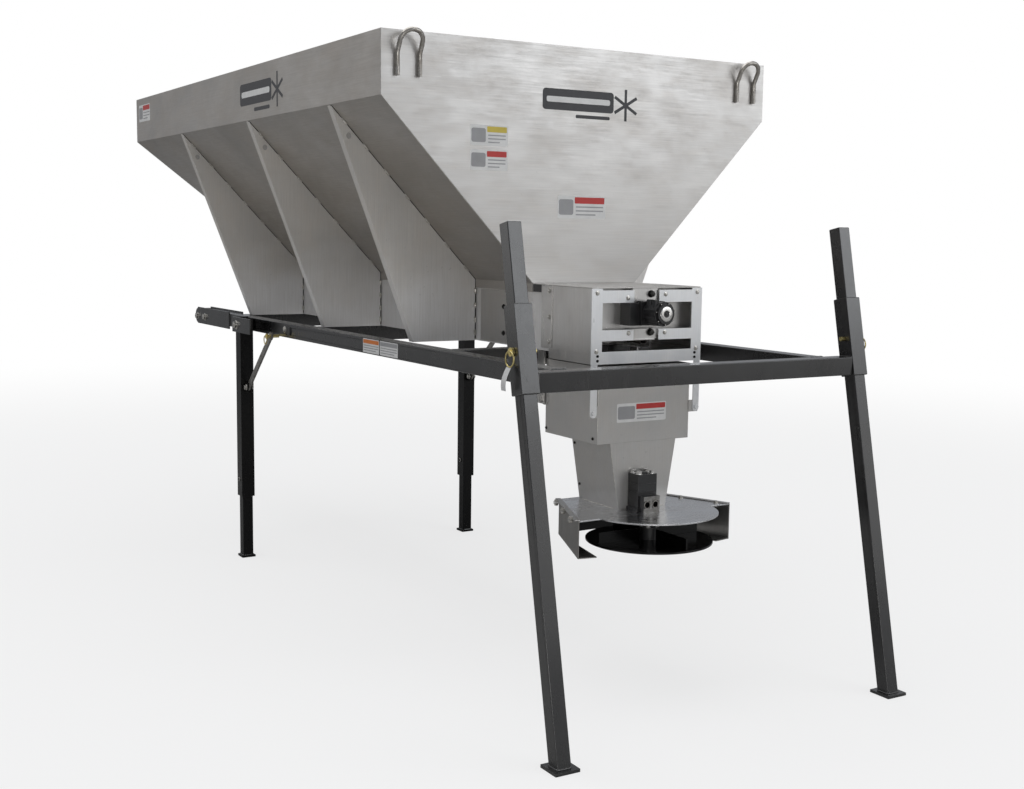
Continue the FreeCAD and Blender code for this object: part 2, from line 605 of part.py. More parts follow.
def shaft_bearings():
    """Four flange bearings inside the trough's side sheets."""
    bearings = []
    for end, place in (("drive", "#drive_y"), ("idler", "#idler_y")):
        for label, side in SIDES.items():
            name = f"bearing_{end}_{label}"
            housing = block(f"{name}_housing",
                            across(side, "#trough_half - #sheet - #bearing_deep",
                                   "#trough_half - #sheet - #bearing_gap"),
                            (f"{place} - #bearing_half", f"{place} + #bearing_half"),
                            ("#shaft_height - #bearing_half", "#shaft_height + #bearing_half"))
            bore = rod(f"{name}_bore", "#shaft_radius + #fit", "x",
                       (f"{side}*(#trough_half - #bearing_deep) - #bearing_half/2", place, "#shaft_height"),
                       "#bearing_half")
            bearings.append(cut(name, housing, [bore]))
    return keep("shaft_bearings", group("shaft_bearings", bearings))


def chain_strands():
    """The side bars of both drag-chain strands, as loops around the two shafts."""
    drive = FreeCAD.Vector(0, size("drive_y"), size("shaft_height"))
    idler = FreeCAD.Vector(0, size("idler_y"), size("shaft_height"))
    radii = (size("chain_inner"), size("chain_outer"))
    inner = size("side_bar_inner")
    thick = size("side_bar")
    loops = []
    for label, side in SIDES.items():
        middle = side * size("strand_middle")
        for number, offset in enumerate((-inner - thick, inner), start=1):
            span = (middle + offset, middle + offset + thick)
            loops.append(band(f"side_bar_{label}_{number}", drive, idler, radii, span))
    return keep("chain_strands", group("chain_strands", loops))


def chain_slats():
    """Scraper bars between the strands, on the upper and lower runs."""
    bars = []
    count = int((size("idler_y") - size("drive_y")) / size("slat_pitch"))
    for run, level in (("upper", "#shaft_height + #chain_inner"), ("lower", "#shaft_height - #chain_outer")):
        for number in range(count):
            place = f"#drive_y + {number + 0.5}*#slat_pitch"
            bars.append(block(f"slat_{run}_{number}", ("-#slat_half", "#slat_half"),
                              (place, f"{place} + #slat_width"),
                              (f"{level} + #sheet", f"{level} + #sheet + #slat_sheet")))
    return keep("chain_slats", group("chain_slats", bars))


def gearbox():
    """Right-angle reduction box: one half behind its plate and one in front of it."""
    half = ("-#gearbox_half", "#gearbox_half")
    outside = block("gearbox_outside", half, ("#gearbox_rear", "#plate_rear"),
                    ("#gearbox_low", "#gearbox_high"))
    inside = block("gearbox_inside", half, ("#plate_rear + #tab_sheet", "#gearbox_front"),
                   ("#gearbox_low", "#gearbox_inner_high"))
    neck = rod("gearbox_neck", "#neck_radius", "y",
               ("0", "#plate_rear - #tab_sheet", "#motor_height"), "3*#tab_sheet")
    socket = rod("gearbox_socket", "#output_radius + #fit", "x",
                 ("#gearbox_half - #socket_deep", "#output_y", "#motor_height"), "#socket_deep + #margin")
    return keep("gearbox", cut("gearbox", fuse("gearbox_casting", [outside, inside, neck]), [socket]))


def gearbox_sprocket():
    shaft = rod("gearbox_sprocket_shaft", "#output_radius", "x",
                ("#gearbox_half - #socket_deep + #gap", "#output_y", "#motor_height"),
                "#trough_half - #wheel_inset - #gearbox_half + #socket_deep + #gap")
    wheel = roller_wheel("gearbox_sprocket_wheel", "#output_y", "#motor_height")
    return keep("gearbox_sprocket", fuse("gearbox_sprocket", [shaft, wheel]))


def roller_chain():
    """The closed roller chain from the gearbox to the drive shaft."""
    driver = FreeCAD.Vector(0, size("output_y"), size("motor_height"))
    driven = FreeCAD.Vector(0, size("drive_y"), size("shaft_height"))
    low = size("trough_half") - size("wheel_inset") - size("chain_overhang")
    high = low + size("wheel_width") + 2 * size("chain_overhang")
    inner = size("roller_wheel") + size("slack")
    radii = (inner, inner + size("chain_depth"))
    return keep("roller_chain", band("roller_chain", driver, driven, radii, (low, high)))


def conveyor_motor():
    """Hydraulic motor behind the gearbox, its end cap a separate ring."""
    flange = block("motor_flange", ("-#motor_flange_half", "#motor_flange_half"),
                   ("#gearbox_rear - #motor_flange_deep", "#gearbox_rear"),
                   ("#motor_height - #motor_flange_low", "#motor_height + #motor_flange_high"))
    body = rod("motor_body", "#motor_radius", "y", ("0", "#motor_rear", "#motor_height"),
               "#gearbox_rear - #motor_flange_deep/2 - #motor_rear")
    cap = rod("motor_cap", "#cap_radius", "y", ("0", "#cap_rear", "#motor_height"), "#cap_deep")
    ports = [rod(f"motor_port_{label}", "#port_radius", "z",
                 ("-#port_x", f"#{label}_port_y", "#motor_height"), "#port_high")
             for label in ("front", "rear")]
    return keep("conveyor_motor", fuse("conveyor_motor", [flange, body, cap] + ports))


# ---------------------------------------------------------------- spinner chute

def chute_box():
    """The upper chute: four sheets, a floor with an opening and two latch lugs."""
    outer = block("chute_box_outer", ("-#chute_half", "#chute_half"), ("#chute_rear", "#chute_front"),
                  ("#chute_bottom", "#chute_top"))
    inner = block("chute_box_inner", ("-#chute_half + #sheet", "#chute_half - #sheet"),
                  ("#chute_rear + #sheet", "#chute_front - #sheet"), ("#chute_bottom + #sheet", "#chute_top"))
    mouth = block("chute_box_mouth", ("-#taper_top_half + #sheet", "#taper_top_half - #sheet"),
                  ("#chute_rear + #sheet", "#taper_front - #sheet"),
                  ("#chute_bottom - #margin", "#chute_bottom + #sheet + #margin"))
    shell = cut("chute_box_shell", outer, [inner, mouth])
    lugs = []
    for label, side in SIDES.items():
        reach = across(side, "#chute_half - #sheet", "#chute_half + #lug_reach")
        lugs.append(block(f"chute_lug_{label}", reach, ("#trough_rear + #latch_gap", "#chute_rear + #sheet"),
                          ("#hinge_height - #lug_low", "#hinge_height + #lug_high")))
        ear_x = f"{side}*(#chute_half + #sheet/2) - #sheet/2"
        lugs.append(rod(f"chute_ear_{label}", "#ear_radius", "x",
                        (ear_x, "#hinge_y - #ear_shift", "#hinge_height"), "#sheet"))
    body = fuse("chute_box_welded", [shell] + lugs)
    bore = rod("chute_hinge_bore", "#hinge_radius + #fit", "x",
               ("-#chute_half - #margin", "#hinge_y", "#hinge_height"), "2*#chute_half + 2*#margin")
    return keep("chute_box", cut("chute_box", body, [bore]))


def chute_taper():
    """The narrowing lower chute between the box and the deck."""
    def trapezoid(inset):
        return [(f"-#taper_top_half + {inset}", "#chute_bottom"),
                (f"#taper_top_half - {inset}", "#chute_bottom"),
                (f"#taper_low_half - {inset}", "#deck_top"),
                (f"-#taper_low_half + {inset}", "#deck_top")]

    outer = prism("chute_taper_outer", "XZ", trapezoid("0"), "#chute_rear", "#taper_front - #chute_rear")
    inner = prism("chute_taper_inner", "XZ", trapezoid("#sheet"), "#chute_rear + #sheet",
                  "#taper_front - #chute_rear - 2*#sheet")
    return keep("chute_taper", cut("chute_taper", outer, [inner]))


def chute_deck():
    """The flat deck over the disc, with a round rear edge, a feed mouth and a shaft hole."""
    low = "#deck_top - #deck_sheet"
    wings = prism("chute_deck_wings", "XY", [
        ("-#deflector_front_x", "#deflector_front_y"), ("-#deflector_rear_x", "#deflector_rear_y"),
        ("#deflector_rear_x", "#deflector_rear_y"), ("#deflector_front_x", "#deflector_front_y"),
    ], low, "#deck_sheet")
    round_rear = rod("chute_deck_round", "#deck_radius", "z", ("0", "#deck_centre", low), "#deck_sheet")
    mouth = block("chute_deck_mouth", ("-#taper_low_half + #sheet", "#taper_low_half - #sheet"),
                  ("#chute_rear + #sheet", "#taper_front - #sheet"),
                  (f"{low} - #margin", "#deck_top + #margin"))
    shaft_hole = rod("chute_deck_shaft_hole", "#shaft_hole", "z", ("0", "#disc_y", f"{low} - #margin"),
                     "#deck_sheet + 2*#margin")
    return keep("chute_deck", cut("chute_deck", fuse("chute_deck_whole", [wings, round_rear]),
                                  [mouth, shaft_hole]))


def deflector(name, side):
    """A flared side guard with a tapered flange turned in at its foot."""
    wall = [
        ("#deflector_front_x", "#deflector_front_y"), ("#deflector_rear_x", "#deflector_rear_y"),
        ("#deflector_rear_x + #sheet", "#deflector_rear_y"),
        ("#deflector_front_x + #sheet", "#deflector_front_y"),
    ]
    foot = [
        ("#deflector_front_x + #gap", "#deflector_front_y - #gap"),
        ("#deflector_rear_x", "#deflector_rear_y"),
        ("#deflector_rear_x - #foot_turn", "#deflector_rear_y - #foot_rise"),
    ]
    guard = prism(f"{name}_wall", "XY", [(f"{side}*({x})", y) for x, y in wall], "#deflector_low",
                  "#deck_top - #deflector_low")
    flange = prism(f"{name}_flange", "XY", [(f"{side}*({x})", y) for x, y in foot], "#deflector_low",
                   "#sheet")
    return keep(name, fuse(name, [guard, flange]))


def spinner_motor():
    """Square-bodied hydraulic motor on the deck, with its port block at the rear."""
    flange = block("spinner_motor_flange", ("#spinner_flange_left", "#spinner_flange_right"),
                   ("#disc_y - #spinner_flange_rear", "#disc_y + #spinner_body_front"),
                   ("#deck_top", "#deck_top + #spinner_flange_high"))
    body = block("spinner_motor_body", ("#spinner_body_left", "#spinner_body_right"),
                 ("#disc_y - #spinner_body_rear", "#disc_y + #spinner_body_front"),
                 ("#deck_top", "#deck_top + #spinner_body_high"))
    ports = block("spinner_port_block", ("#block_left", "#block_right"),
                  ("#disc_y - #block_rear", "#disc_y - #spinner_body_rear"),
                  ("#deck_top", "#deck_top + #block_high"))
    holes = [rod(f"spinner_port_{label}", "#block_port", "y",
                 (f"#block_port_{label}", "#disc_y - #block_rear - #margin", "#deck_top + #block_port_rise"),
                 "#margin + #block_port_deep") for label in ("left", "right")]
    socket = rod("spinner_motor_socket", "#spinner_radius + #fit", "z",
                 ("0", "#disc_y", "#deck_top - #margin"), "#margin + #socket_high")
    casting = cut("spinner_motor_casting", fuse("spinner_motor_whole", [flange, body, ports]),
                  holes + [socket])
    top = "#deck_top + #spinner_body_high"
    columns = {"left": "#spinner_body_left + #spinner_bolt_inset",
               "right": "#spinner_body_right - #spinner_bolt_inset"}
    rows = {"rear": "#disc_y - #spinner_body_rear + #spinner_bolt_inset",
            "front": "#disc_y + #spinner_body_front - #spinner_bolt_inset"}
    bolts = [hexagon(f"spinner_bolt_{column}_{row}", "#spinner_bolt", "z", (x, y, top), "#spinner_bolt")
             for column, x in columns.items() for row, y in rows.items()]
    return keep("spinner_motor", group("spinner_motor", [casting] + bolts))


def spinner_shaft():
    """The motor's shaft with the hub that carries the disc."""
    shaft = rod("spinner_shaft_bar", "#spinner_radius", "z", ("0", "#disc_y", "#disc_height - #shaft_drop"),
                "#deck_top + #shaft_rise - #disc_height + #shaft_drop")
    hub = rod("spinner_hub", "#hub_radius", "z", ("0", "#disc_y", "#disc_height + #disc_half"), "#hub_high")
    nut = hexagon("spinner_nut", "#spinner_nut", "z", ("0", "#disc_y", "#disc_height - #spinner_nut_drop"),
                  "#spinner_nut_high")
    return keep("spinner_shaft", fuse("spinner_shaft", [shaft, hub, nut]))


def spinner_disc():
    """The flat disc, bored for the shaft."""
    plate = rod("spinner_plate", "#disc_radius", "z", ("0", "#disc_y", "#disc_height - #disc_half"),
                "2*#disc_half")
    bore = rod("spinner_bore", "#spinner_radius", "z", ("0", "#disc_y", "#disc_height - #margin"),
               "2*#margin")
    return keep("spinner_disc", cut("spinner_disc", plate, [bore]))


def spinner_fins():
    """Four radial fins on the disc, 90 degrees apart."""
    rise = ("#disc_height + #disc_half", "#disc_height + #disc_half + #fin_high")
    fins = []
    for label, way in SIDES.items():
        low, high = across(way, "#fin_inner", "#disc_radius - #fin_inset")
        fins.append(block(f"spinner_fin_{label}", (low, high),
                          ("#disc_y - #fin_half", "#disc_y + #fin_half"), rise))
        fins.append(block(f"spinner_fin_beside_{label}", ("-#fin_half", "#fin_half"),
                          (f"#disc_y + ({low})", f"#disc_y + ({high})"), rise))
    return keep("spinner_fins", group("spinner_fins", fins))


def chute_straps():
    """Two latch straps that hang from the rear frame, with their clamp bolts."""
    pieces = []
    for label, side in SIDES.items():
        middle = f"{side}*(#strap_inner + #strap_outer)/2"
        flat = block(f"strap_flat_{label}", across(side, "#strap_inner", "#strap_outer"),
                     ("#trough_rear - #sheet", "#trough_rear"),
                     ("#hinge_height - #strap_drop", "#skirt_bottom"))
        end = rod(f"strap_end_{label}", "(#strap_outer - #strap_inner)/2", "y",
                  (middle, "#trough_rear - #sheet", "#hinge_height - #strap_drop"), "#sheet")
        strap = fuse(f"strap_{label}", [flat, end])
        bolt = hexagon(f"strap_bolt_{label}", "#latch_bolt", "y",
                       (middle, "#trough_rear - #sheet - #latch_head", "#hinge_height - #latch_drop"),
                       "#latch_head")
        pieces += [strap, bolt]
    return keep("chute_straps", group("chute_straps", pieces))


def chute_hinge():
    """The hinge rod across the trough's underside with a hanger plate at each end."""
    pin = rod("chute_hinge_rod", "#hinge_radius", "x",
              ("-#chute_half - #hinge_reach", "#hinge_y", "#hinge_height"), "2*#chute_half + 2*#hinge_reach")
    inner = "#chute_half + #hanger_inner"
    y_span = ("#hinge_y - #hanger_rear", "#hinge_y + #hanger_front")
    hangers = []
    for label, side in SIDES.items():
        hangers.append(block(f"chute_hanger_{label}", across(side, inner, f"{inner} + #tab_sheet"),
                             y_span, ("#hinge_height - #hanger_drop", "#frame_top")))
        hangers.append(block(f"chute_hanger_foot_{label}", across(side, inner, "#trough_half"),
                             y_span, ("#frame_top - #hanger_foot", "#frame_top")))
        nut_x = f"{side}*(#chute_half + #hinge_nut_place) - #hinge_nut_width/2"
        hangers.append(hexagon(f"chute_hinge_nut_{label}", "#hinge_nut", "x",
                               (nut_x, "#hinge_y", "#hinge_height"), "#hinge_nut_width"))
    return keep("chute_hinge", fuse("chute_hinge", [pin] + hangers))


# ---------------------------------------------------------------- stand

def frame_tube(name, x_span, y_span, walls):
    """The outside and the inside of a square frame tube. walls thins the inside along X and Y."""
    outer = block(f"{name}_outer", x_span, y_span, ("#frame_top - #tube", "#frame_top"))
    x_wall, y_wall = walls
    inner = block(f"{name}_inner", (f"{x_span[0]} + {x_wall}", f"{x_span[1]} - {x_wall}"),
                  (f"{y_span[0]} + {y_wall}", f"{y_span[1]} - {y_wall}"),
                  ("#frame_top - #tube + #tube_wall", "#frame_top - #tube_wall"))
    return outer, inner


def frame_rails():
    """The two long rails, drilled for the front-leg pivot bolts."""
    rails = []
    for label, side in SIDES.items():
        name = f"frame_rail_{label}"
        span = across(side, "#rail_outer - #tube", "#rail_outer")
        outer, inner = frame_tube(name, span, ("#crossbar_front", "#rail_front"), ("#tube_wall", "(-#gap)"))
        pivot = rod(f"{name}_pivot_hole", "#pivot_radius + #fit", "x",
                    (f"{side}*(#rail_outer - #tube/2) - #tube", "#front_leg_y", "#pivot_height"), "2*#tube")
        rails.append(cut(name, outer, [inner, pivot]))
    return keep("frame_rails", group("frame_rails", rails))


def cross_tubes():
    """The rear crossbar between the leg sleeves and the tubes under the trough."""
    tubes = []
    reach = "#sleeve_x - #tube/2"
    rear_span = ("#crossbar_front - #tube", "#crossbar_front")
    middle_reach = "#rail_outer - #tube"
    places = [("rear", reach, rear_span)]
    for label, place in (("second", "#second_tube"), ("third", "#gusset_middle"), ("front", "#front_tube")):
        places.append((label, middle_reach, (place, f"{place} + #tube")))
    for label, half, y_span in places:
        name = f"cross_tube_{label}"
        outer, inner = frame_tube(name, (f"-({half})", half), y_span, ("(-#gap)", "#tube_wall"))
        tubes.append(cut(name, outer, [inner]))
    return keep("cross_tubes", group("cross_tubes", tubes))


def lean(piece, side):
    """Stand a piece built about a vertical leg axis in the rear leg's leaning place."""
    turn = FreeCAD.Rotation(FreeCAD.Vector(-1, 0, 0), size("leg_lean"))
    piece.Placement = FreeCAD.Placement(FreeCAD.Vector(), turn)
    piece.setExpression("Placement.Base.x", cell(f"{side}*#sleeve_x"))
    piece.setExpression("Placement.Base.y", cell("#leg_foot_y"))
    piece.setExpression("Placement.Rotation.Angle", cell("#leg_lean"))
    return piece


def square(name, across_flats, z_span):
    """A square bar about the local vertical axis."""
    half = f"({across_flats})/2"
    return block(name, (f"-{half}", half), (f"-{half}", half), z_span)


def leg_sleeves():
    """The two leaning sockets that the rear legs slide in."""
    sleeves = []
    for label, side in SIDES.items():
        name = f"leg_sleeve_{label}"
        outer = square(f"{name}_outer", "#tube", ("#sleeve_low", "#sleeve_high"))
        inner = square(f"{name}_inner", "#tube - 2*#sleeve_wall",
                       ("#sleeve_low - #margin", "#sleeve_high + #margin"))
        hole = rod(f"{name}_hole", "#pin_radius + #fit", "x", ("-#tube", "0", "#pin_along"), "2*#tube")
        sleeves.append(lean(cut(name, outer, [inner, hole]), side))
    return keep("leg_sleeves", group("leg_sleeves", sleeves))


def rear_leg(name, side):
    """A leaning square leg with a flat foot plate, slotted where its pin passes."""
    outer = square(f"{name}_outer", "#leg", ("-2*#margin", "#leg_length"))
    inner = square(f"{name}_inner", "#leg - 2*#leg_wall", ("-3*#margin", "#leg_length - #leg_wall"))
    slot = [rod(f"{name}_slot_{end}", "#pin_radius + #slack", "x", ("-#tube", "0", height), "2*#tube")
            for end, height in (("low", "#pin_along"), ("high", "#pin_along + #leg_travel"))]
    slot.append(block(f"{name}_slot_middle", ("-#tube", "#tube"),
                      ("-#pin_radius - #slack", "#pin_radius + #slack"),
                      ("#pin_along", "#pin_along + #leg_travel")))
    tube = lean(cut(f"{name}_tube", outer, [inner] + slot), side)
    ground = block(f"{name}_ground", (f"{side}*#sleeve_x - 2*#leg", f"{side}*#sleeve_x + 2*#leg"),
                   ("#leg_foot_y - 2*#leg", "#leg_foot_y + 2*#leg"), ("-2*#leg", "#foot_sheet"))
    plate = block(f"{name}_plate", (f"{side}*#sleeve_x - #foot_half", f"{side}*#sleeve_x + #foot_half"),
                  ("#leg_foot_y - #foot_half", "#leg_foot_y + #foot_half"), ("0", "#foot_sheet"))
    return keep(name, fuse(name, [cut(f"{name}_trimmed", tube, [ground]), plate]))


def hitch_pin(name, side):
    """A headed pin with a pull ring, through the sleeve and the leg's slot."""
    face = "#tube/2 + #gap"
    shank_x, _ = across(side, "-#tube/2 - #pin_tail", f"{face} + #pin_grip")
    head_x, _ = across(side, face, f"{face} + #pin_head_deep")
    shank = rod(f"{name}_shank", "#pin_radius", "x", (shank_x, "0", "#pin_along"),
                f"#tube/2 + #pin_tail + {face} + #pin_grip")
    head = rod(f"{name}_head", "#pin_head", "x", (head_x, "0", "#pin_along"), "#pin_head_deep")
    loop = ring(f"{name}_ring", "#pull_ring", "#pull_wire",
                (f"{side}*({face} + #pin_grip)", "0", "#pin_along - #pull_drop"), "x")
    return keep(name, lean(fuse(name, [shank, head, loop]), side))


def front_leg_brackets():
    """Outer cheek, front web and pivot bolt that hold each folding front leg to its rail."""
    pieces = []
    inner = "#front_leg_x + #tube/2 + #gap"
    outer = f"{inner} + #cheek_sheet"
    front = "#front_leg_y + #cheek_front"
    z_span = ("#frame_top - #tube - #sheet", "#frame_top + #sheet")
    for label, side in SIDES.items():
        name = f"front_bracket_{label}"
        cheek = block(f"{name}_cheek", across(side, inner, outer),
                      ("#front_leg_y - #cheek_rear", front), z_span)
        web = block(f"{name}_web", across(side, "#rail_outer", inner),
                    (f"{front} - #cheek_sheet", front), z_span)
        start, _ = across(side, "#rail_outer - #tube - #pivot_tail", outer)
        bolt = rod(f"{name}_bolt", "#pivot_radius", "x", (start, "#front_leg_y", "#pivot_height"),
                   f"{outer} - #rail_outer + #tube + #pivot_tail")
        head = hexagon(f"{name}_head", "#pivot_head", "x",
                       (f"{side}*({outer} + #pivot_tail) - #pivot_tail", "#front_leg_y", "#pivot_height"),
                       "2*#pivot_tail")
        stop = hexagon(f"{name}_stop", "#stop_head", "y",
                       (f"{side}*#front_leg_x", front, "#frame_top - #stop_drop"), "#stop_deep")
        pieces.append(fuse(name, [cheek, web, bolt, head, stop]))
    return keep("front_leg_brackets", group("front_leg_brackets", pieces))


def leg_square(name, side, across_flats, z_span):
    """A square bar about a front leg's axis."""
    half = f"({across_flats})/2"
    middle = f"{side}*#front_leg_x"
    return block(name, (f"{middle} - {half}", f"{middle} + {half}"),
                 (f"#front_leg_y - {half}", f"#front_leg_y + {half}"), z_span)


def front_leg(name, side):
    """The folding upper tube, its brace ears and the stop bolt for the lower tube."""
    top = "#frame_top"
    outer = leg_square(f"{name}_outer", side, "#tube", ("#upper_bottom", top))
    inner = leg_square(f"{name}_inner", side, "#tube - 2*#sleeve_wall",
                       ("#upper_bottom - #margin", f"{top} + #margin"))
    middle = f"{side}*#front_leg_x"
    pivot = rod(f"{name}_pivot_hole", "#pivot_radius + #fit", "x",
                (f"{middle} - #tube", "#front_leg_y", "#pivot_height"), "2*#tube")
    ears = []
    for number, offset in enumerate(("- 2*#ear_sheet", "+ #ear_sheet"), start=1):
        ears.append(block(f"{name}_ear_{number}", (f"{middle} {offset}", f"{middle} {offset} + #ear_sheet"),
                          ("#brace_low_y - #ear_rear", "#front_leg_y - #tube/2"),
                          ("#brace_low_z - #ear_half", "#brace_low_z + #ear_half")))
    tube = cut(f"{name}_tube", fuse(f"{name}_welded", [outer] + ears), [inner, pivot])
    ear_bolt = rod(f"{name}_ear_bolt", "#pin_radius", "x",
                   (f"{middle} - #ear_bolt_half", "#brace_low_y", "#brace_low_z"), "2*#ear_bolt_half")
    stop = rod(f"{name}_stop_bolt", "#pin_radius", "x",
               (f"{middle} - #tube/2 - #pivot_tail", "#front_leg_y", "#stop_height"), "#tube + 2*#pivot_tail")
    return keep(name, fuse(name, [tube, ear_bolt, stop]))


def front_foot(name, side):
    """The lower tube with its foot pad, slotted where the stop bolt passes."""
    outer = leg_square(f"{name}_outer", side, "#leg", ("#foot_sheet", "#lower_top"))
    inner = leg_square(f"{name}_inner", side, "#leg - 2*#leg_wall",
                       ("#foot_sheet - #margin", "#lower_top + #margin"))
    start = f"{side}*#front_leg_x - #tube"
    slot = [rod(f"{name}_slot_{end}", "#pin_radius + #slack", "x", (start, "#front_leg_y", height), "2*#tube")
            for end, height in (("low", "#stop_height"), ("high", "#stop_height + #leg_travel"))]
    slot.append(block(f"{name}_slot_middle", (start, f"{start} + 2*#tube"),
                      ("#front_leg_y - #pin_radius - #slack", "#front_leg_y + #pin_radius + #slack"),
                      ("#stop_height", "#stop_height + #leg_travel")))
    pad = leg_square(f"{name}_pad", side, "2*#lower_foot", ("0", "#foot_sheet"))
    return keep(name, fuse(name, [cut(f"{name}_tube", outer, [inner] + slot), pad]))


def brace(name, side):
    """A flat bar from the leg's ears up to the rail, with an eye at each end."""
    face = f"{side}*#front_leg_x - #brace_sheet/2"
    run = size("brace_high_y") - size("brace_low_y")
    rise = size("brace_high_z") - size("brace_low_z")
    bar = doc.addObject("Part::Box", f"{name}_bar")
    bar.setExpression("Length", cell("#brace_sheet"))
    length = "sqrt((#brace_high_y - #brace_low_y)^2 + (#brace_high_z - #brace_low_z)^2)"
    bar.setExpression("Width", cell(length))
    bar.setExpression("Height", cell("#brace_width"))
    turn = FreeCAD.Rotation(FreeCAD.Vector(1, 0, 0), math.degrees(math.atan2(rise, run)))
    half_width = turn.multVec(FreeCAD.Vector(0, 0, -size("brace_width") / 2))
    start = FreeCAD.Vector(evaluate(face), size("brace_low_y"), size("brace_low_z"))
    bar.Placement = FreeCAD.Placement(start + half_width, turn)
    eyes = []
    holes = []
    for end in ("low", "high"):
        y, z = f"#brace_{end}_y", f"#brace_{end}_z"
        eyes.append(rod(f"{name}_eye_{end}", "#brace_eye", "x", (face, y, z), "#brace_sheet"))
        holes.append(rod(f"{name}_hole_{end}", "#pin_radius + #fit", "x", (f"{face} - #margin", y, z),
                         "#brace_sheet + 2*#margin"))
    return keep(name, cut(name, fuse(f"{name}_forged", [bar] + eyes), holes))


def brace_pin(name, side):
    """The quick-release pin at the brace's upper eye, with a pull ring outside."""
    inner_tip = "#rail_outer + #slack"
    head_face = "#front_leg_x + #brace_head_place"
    start, _ = across(side, inner_tip, f"{head_face} + #brace_grip")
    shank = rod(f"{name}_shank", "#pin_radius", "x", (start, "#brace_high_y", "#brace_high_z"),
                f"{head_face} + #brace_grip - ({inner_tip})")
    head_start, _ = across(side, head_face, f"{head_face} + #brace_head_deep")
    head = rod(f"{name}_head", "#brace_head", "x", (head_start, "#brace_high_y", "#brace_high_z"),
               "#brace_head_deep")
    loop = ring(f"{name}_ring", "#small_ring", "#small_wire",
                (f"{side}*({head_face} + #brace_grip)", "#brace_high_y", "#brace_high_z - #small_drop"), "x")
    return keep(name, fuse(name, [shank, head, loop]))


def roller_brackets():
    """Cheek plates on the rails' front ends with the fixed axle of each roller."""
    brackets = []
    for label, side in SIDES.items():
        name = f"roller_bracket_{label}"
        cheeks = []
        for place, inner in (("outer", "#rail_outer"), ("inner", "#rail_outer - #tube - #roller_cheek")):
            span = across(side, inner, f"{inner} + #roller_cheek")
            flat = block(f"{name}_{place}_flat", span, ("#cheek_start", "#roller_y"),
                         ("#roller_height - #cheek_low", "#roller_height + #cheek_high"))
            nose = rod(f"{name}_{place}_nose", "#roller_radius", "x",
                       (span[0], "#roller_y", "#roller_height"), "#roller_cheek")
            cheeks += [flat, nose]
        axle_start, _ = across(side, "#rail_outer - #tube - #axle_reach", "#rail_outer + #axle_reach")
        axle = rod(f"{name}_axle", "#pivot_radius", "x", (axle_start, "#roller_y", "#roller_height"),
                   "#tube + 2*#axle_reach")
        cheek_face = "#rail_outer + #roller_cheek"
        head_start, _ = across(side, cheek_face, f"{cheek_face} + #roller_nut_deep")
        heads = [hexagon(f"{name}_head_{number}", "#roller_nut", "x",
                         (head_start, place, "#roller_height - #roller_nut_drop"), "#roller_nut_deep")
                 for number, place in enumerate(("#roller_y", "#cheek_bolt_y"), start=1)]
        brackets.append(fuse(name, cheeks + [axle] + heads))
    return keep("roller_brackets", group("roller_brackets", brackets))


def front_roller(name, side):
    """A steel roller that runs on the truck's bed while the stand is loaded."""
    start = f"{side}*(#rail_outer - #tube/2) - #roller_half"
    wheel = rod(f"{name}_wheel", "#roller_radius", "x", (start, "#roller_y", "#roller_height"),
                "2*#roller_half")
    bore = rod(f"{name}_bore", "#pivot_radius + #fit", "x",
               (f"{start} - #margin", "#roller_y", "#roller_height"), "2*#roller_half + 2*#margin")
    return keep(name, cut(name, wheel, [bore]))


# ---------------------------------------------------------------- fasteners

def rear_face_bolts():
    """Bolt heads on the rear frame's bars and the larger ones on the gearbox tabs."""
    bolts = []
    for number, (x, z) in enumerate(BAR_BOLTS):
        bolts.append(hexagon(f"bar_bolt_{number}", "#bar_bolt", "y",
                             (f"{x}", "#trough_rear - #sheet - #bar_bolt_deep", f"{z}"), "#bar_bolt_deep"))
    for number, z in enumerate(TAB_BOLTS):
        bolts.append(hexagon(f"tab_bolt_{number}", "#tab_bolt", "y",
                             ("#tab_bolt_x", "#trough_rear - #tab_bolt_reach", f"{z}"),
                             "#tab_rear - #trough_rear + #tab_bolt_reach"))
    return bolts


def side_bolts():
    """Bolt heads along the lapped strip of the extension, on both sides."""
    bolts = []
    for label, side in SIDES.items():
        start, _ = across(side, "#skirt_half + #sheet", "#skirt_half + #sheet + #strip_bolt_deep")
        for number, height in enumerate(STRIP_BOLTS):
            bolts.append(hexagon(f"strip_bolt_{label}_{number}", "#strip_bolt", "x",
                                 (start, "#strip_bolt_y", f"{height}"), "#strip_bolt_deep"))
    return bolts


def frame_bolts():
    """Bolts that hold the gusset feet down on the rails."""
    bolts = []
    for label, side in SIDES.items():
        for place in ("rear", "middle", "front"):
            for number, inset in enumerate(FOOT_BOLTS, start=1):
                bolts.append(hexagon(f"foot_bolt_{label}_{place}_{number}", "#foot_bolt", "z",
                                     (f"{side}*(#gusset_foot - {inset})", f"#gusset_{place} + #foot_bolt_y",
                                      "#frame_top + #gusset_sheet"), "#foot_bolt_deep"))
    return bolts


for label, side in SIDES.items():
    hopper_side(f"hopper_side_{label}", side)
hopper_rear_wall()
hopper_front_wall()
for label, side in SIDES.items():
    gussets = [gusset(f"gusset_{label}_{place}", side, f"#gusset_{place}")
               for place in ("rear", "middle", "front")]
    keep(f"gussets_{label}", group(f"gussets_{label}", gussets))
inverted_vee()
cross_braces()
keep("lifting_loops", group("lifting_loops", [lifting_loop(f"lifting_loop_{label}", side)
                                              for label, side in SIDES.items()]))

for label, side in SIDES.items():
    trough_side(f"trough_side_{label}", side)
keep("extension_skirts", group("extension_skirts", [extension_skirt(f"extension_skirt_{label}", side)
                                                    for label, side in SIDES.items()]))
rear_frame()
gearbox_plate()
trough_covers()
conveyor_floor()
feed_gate()

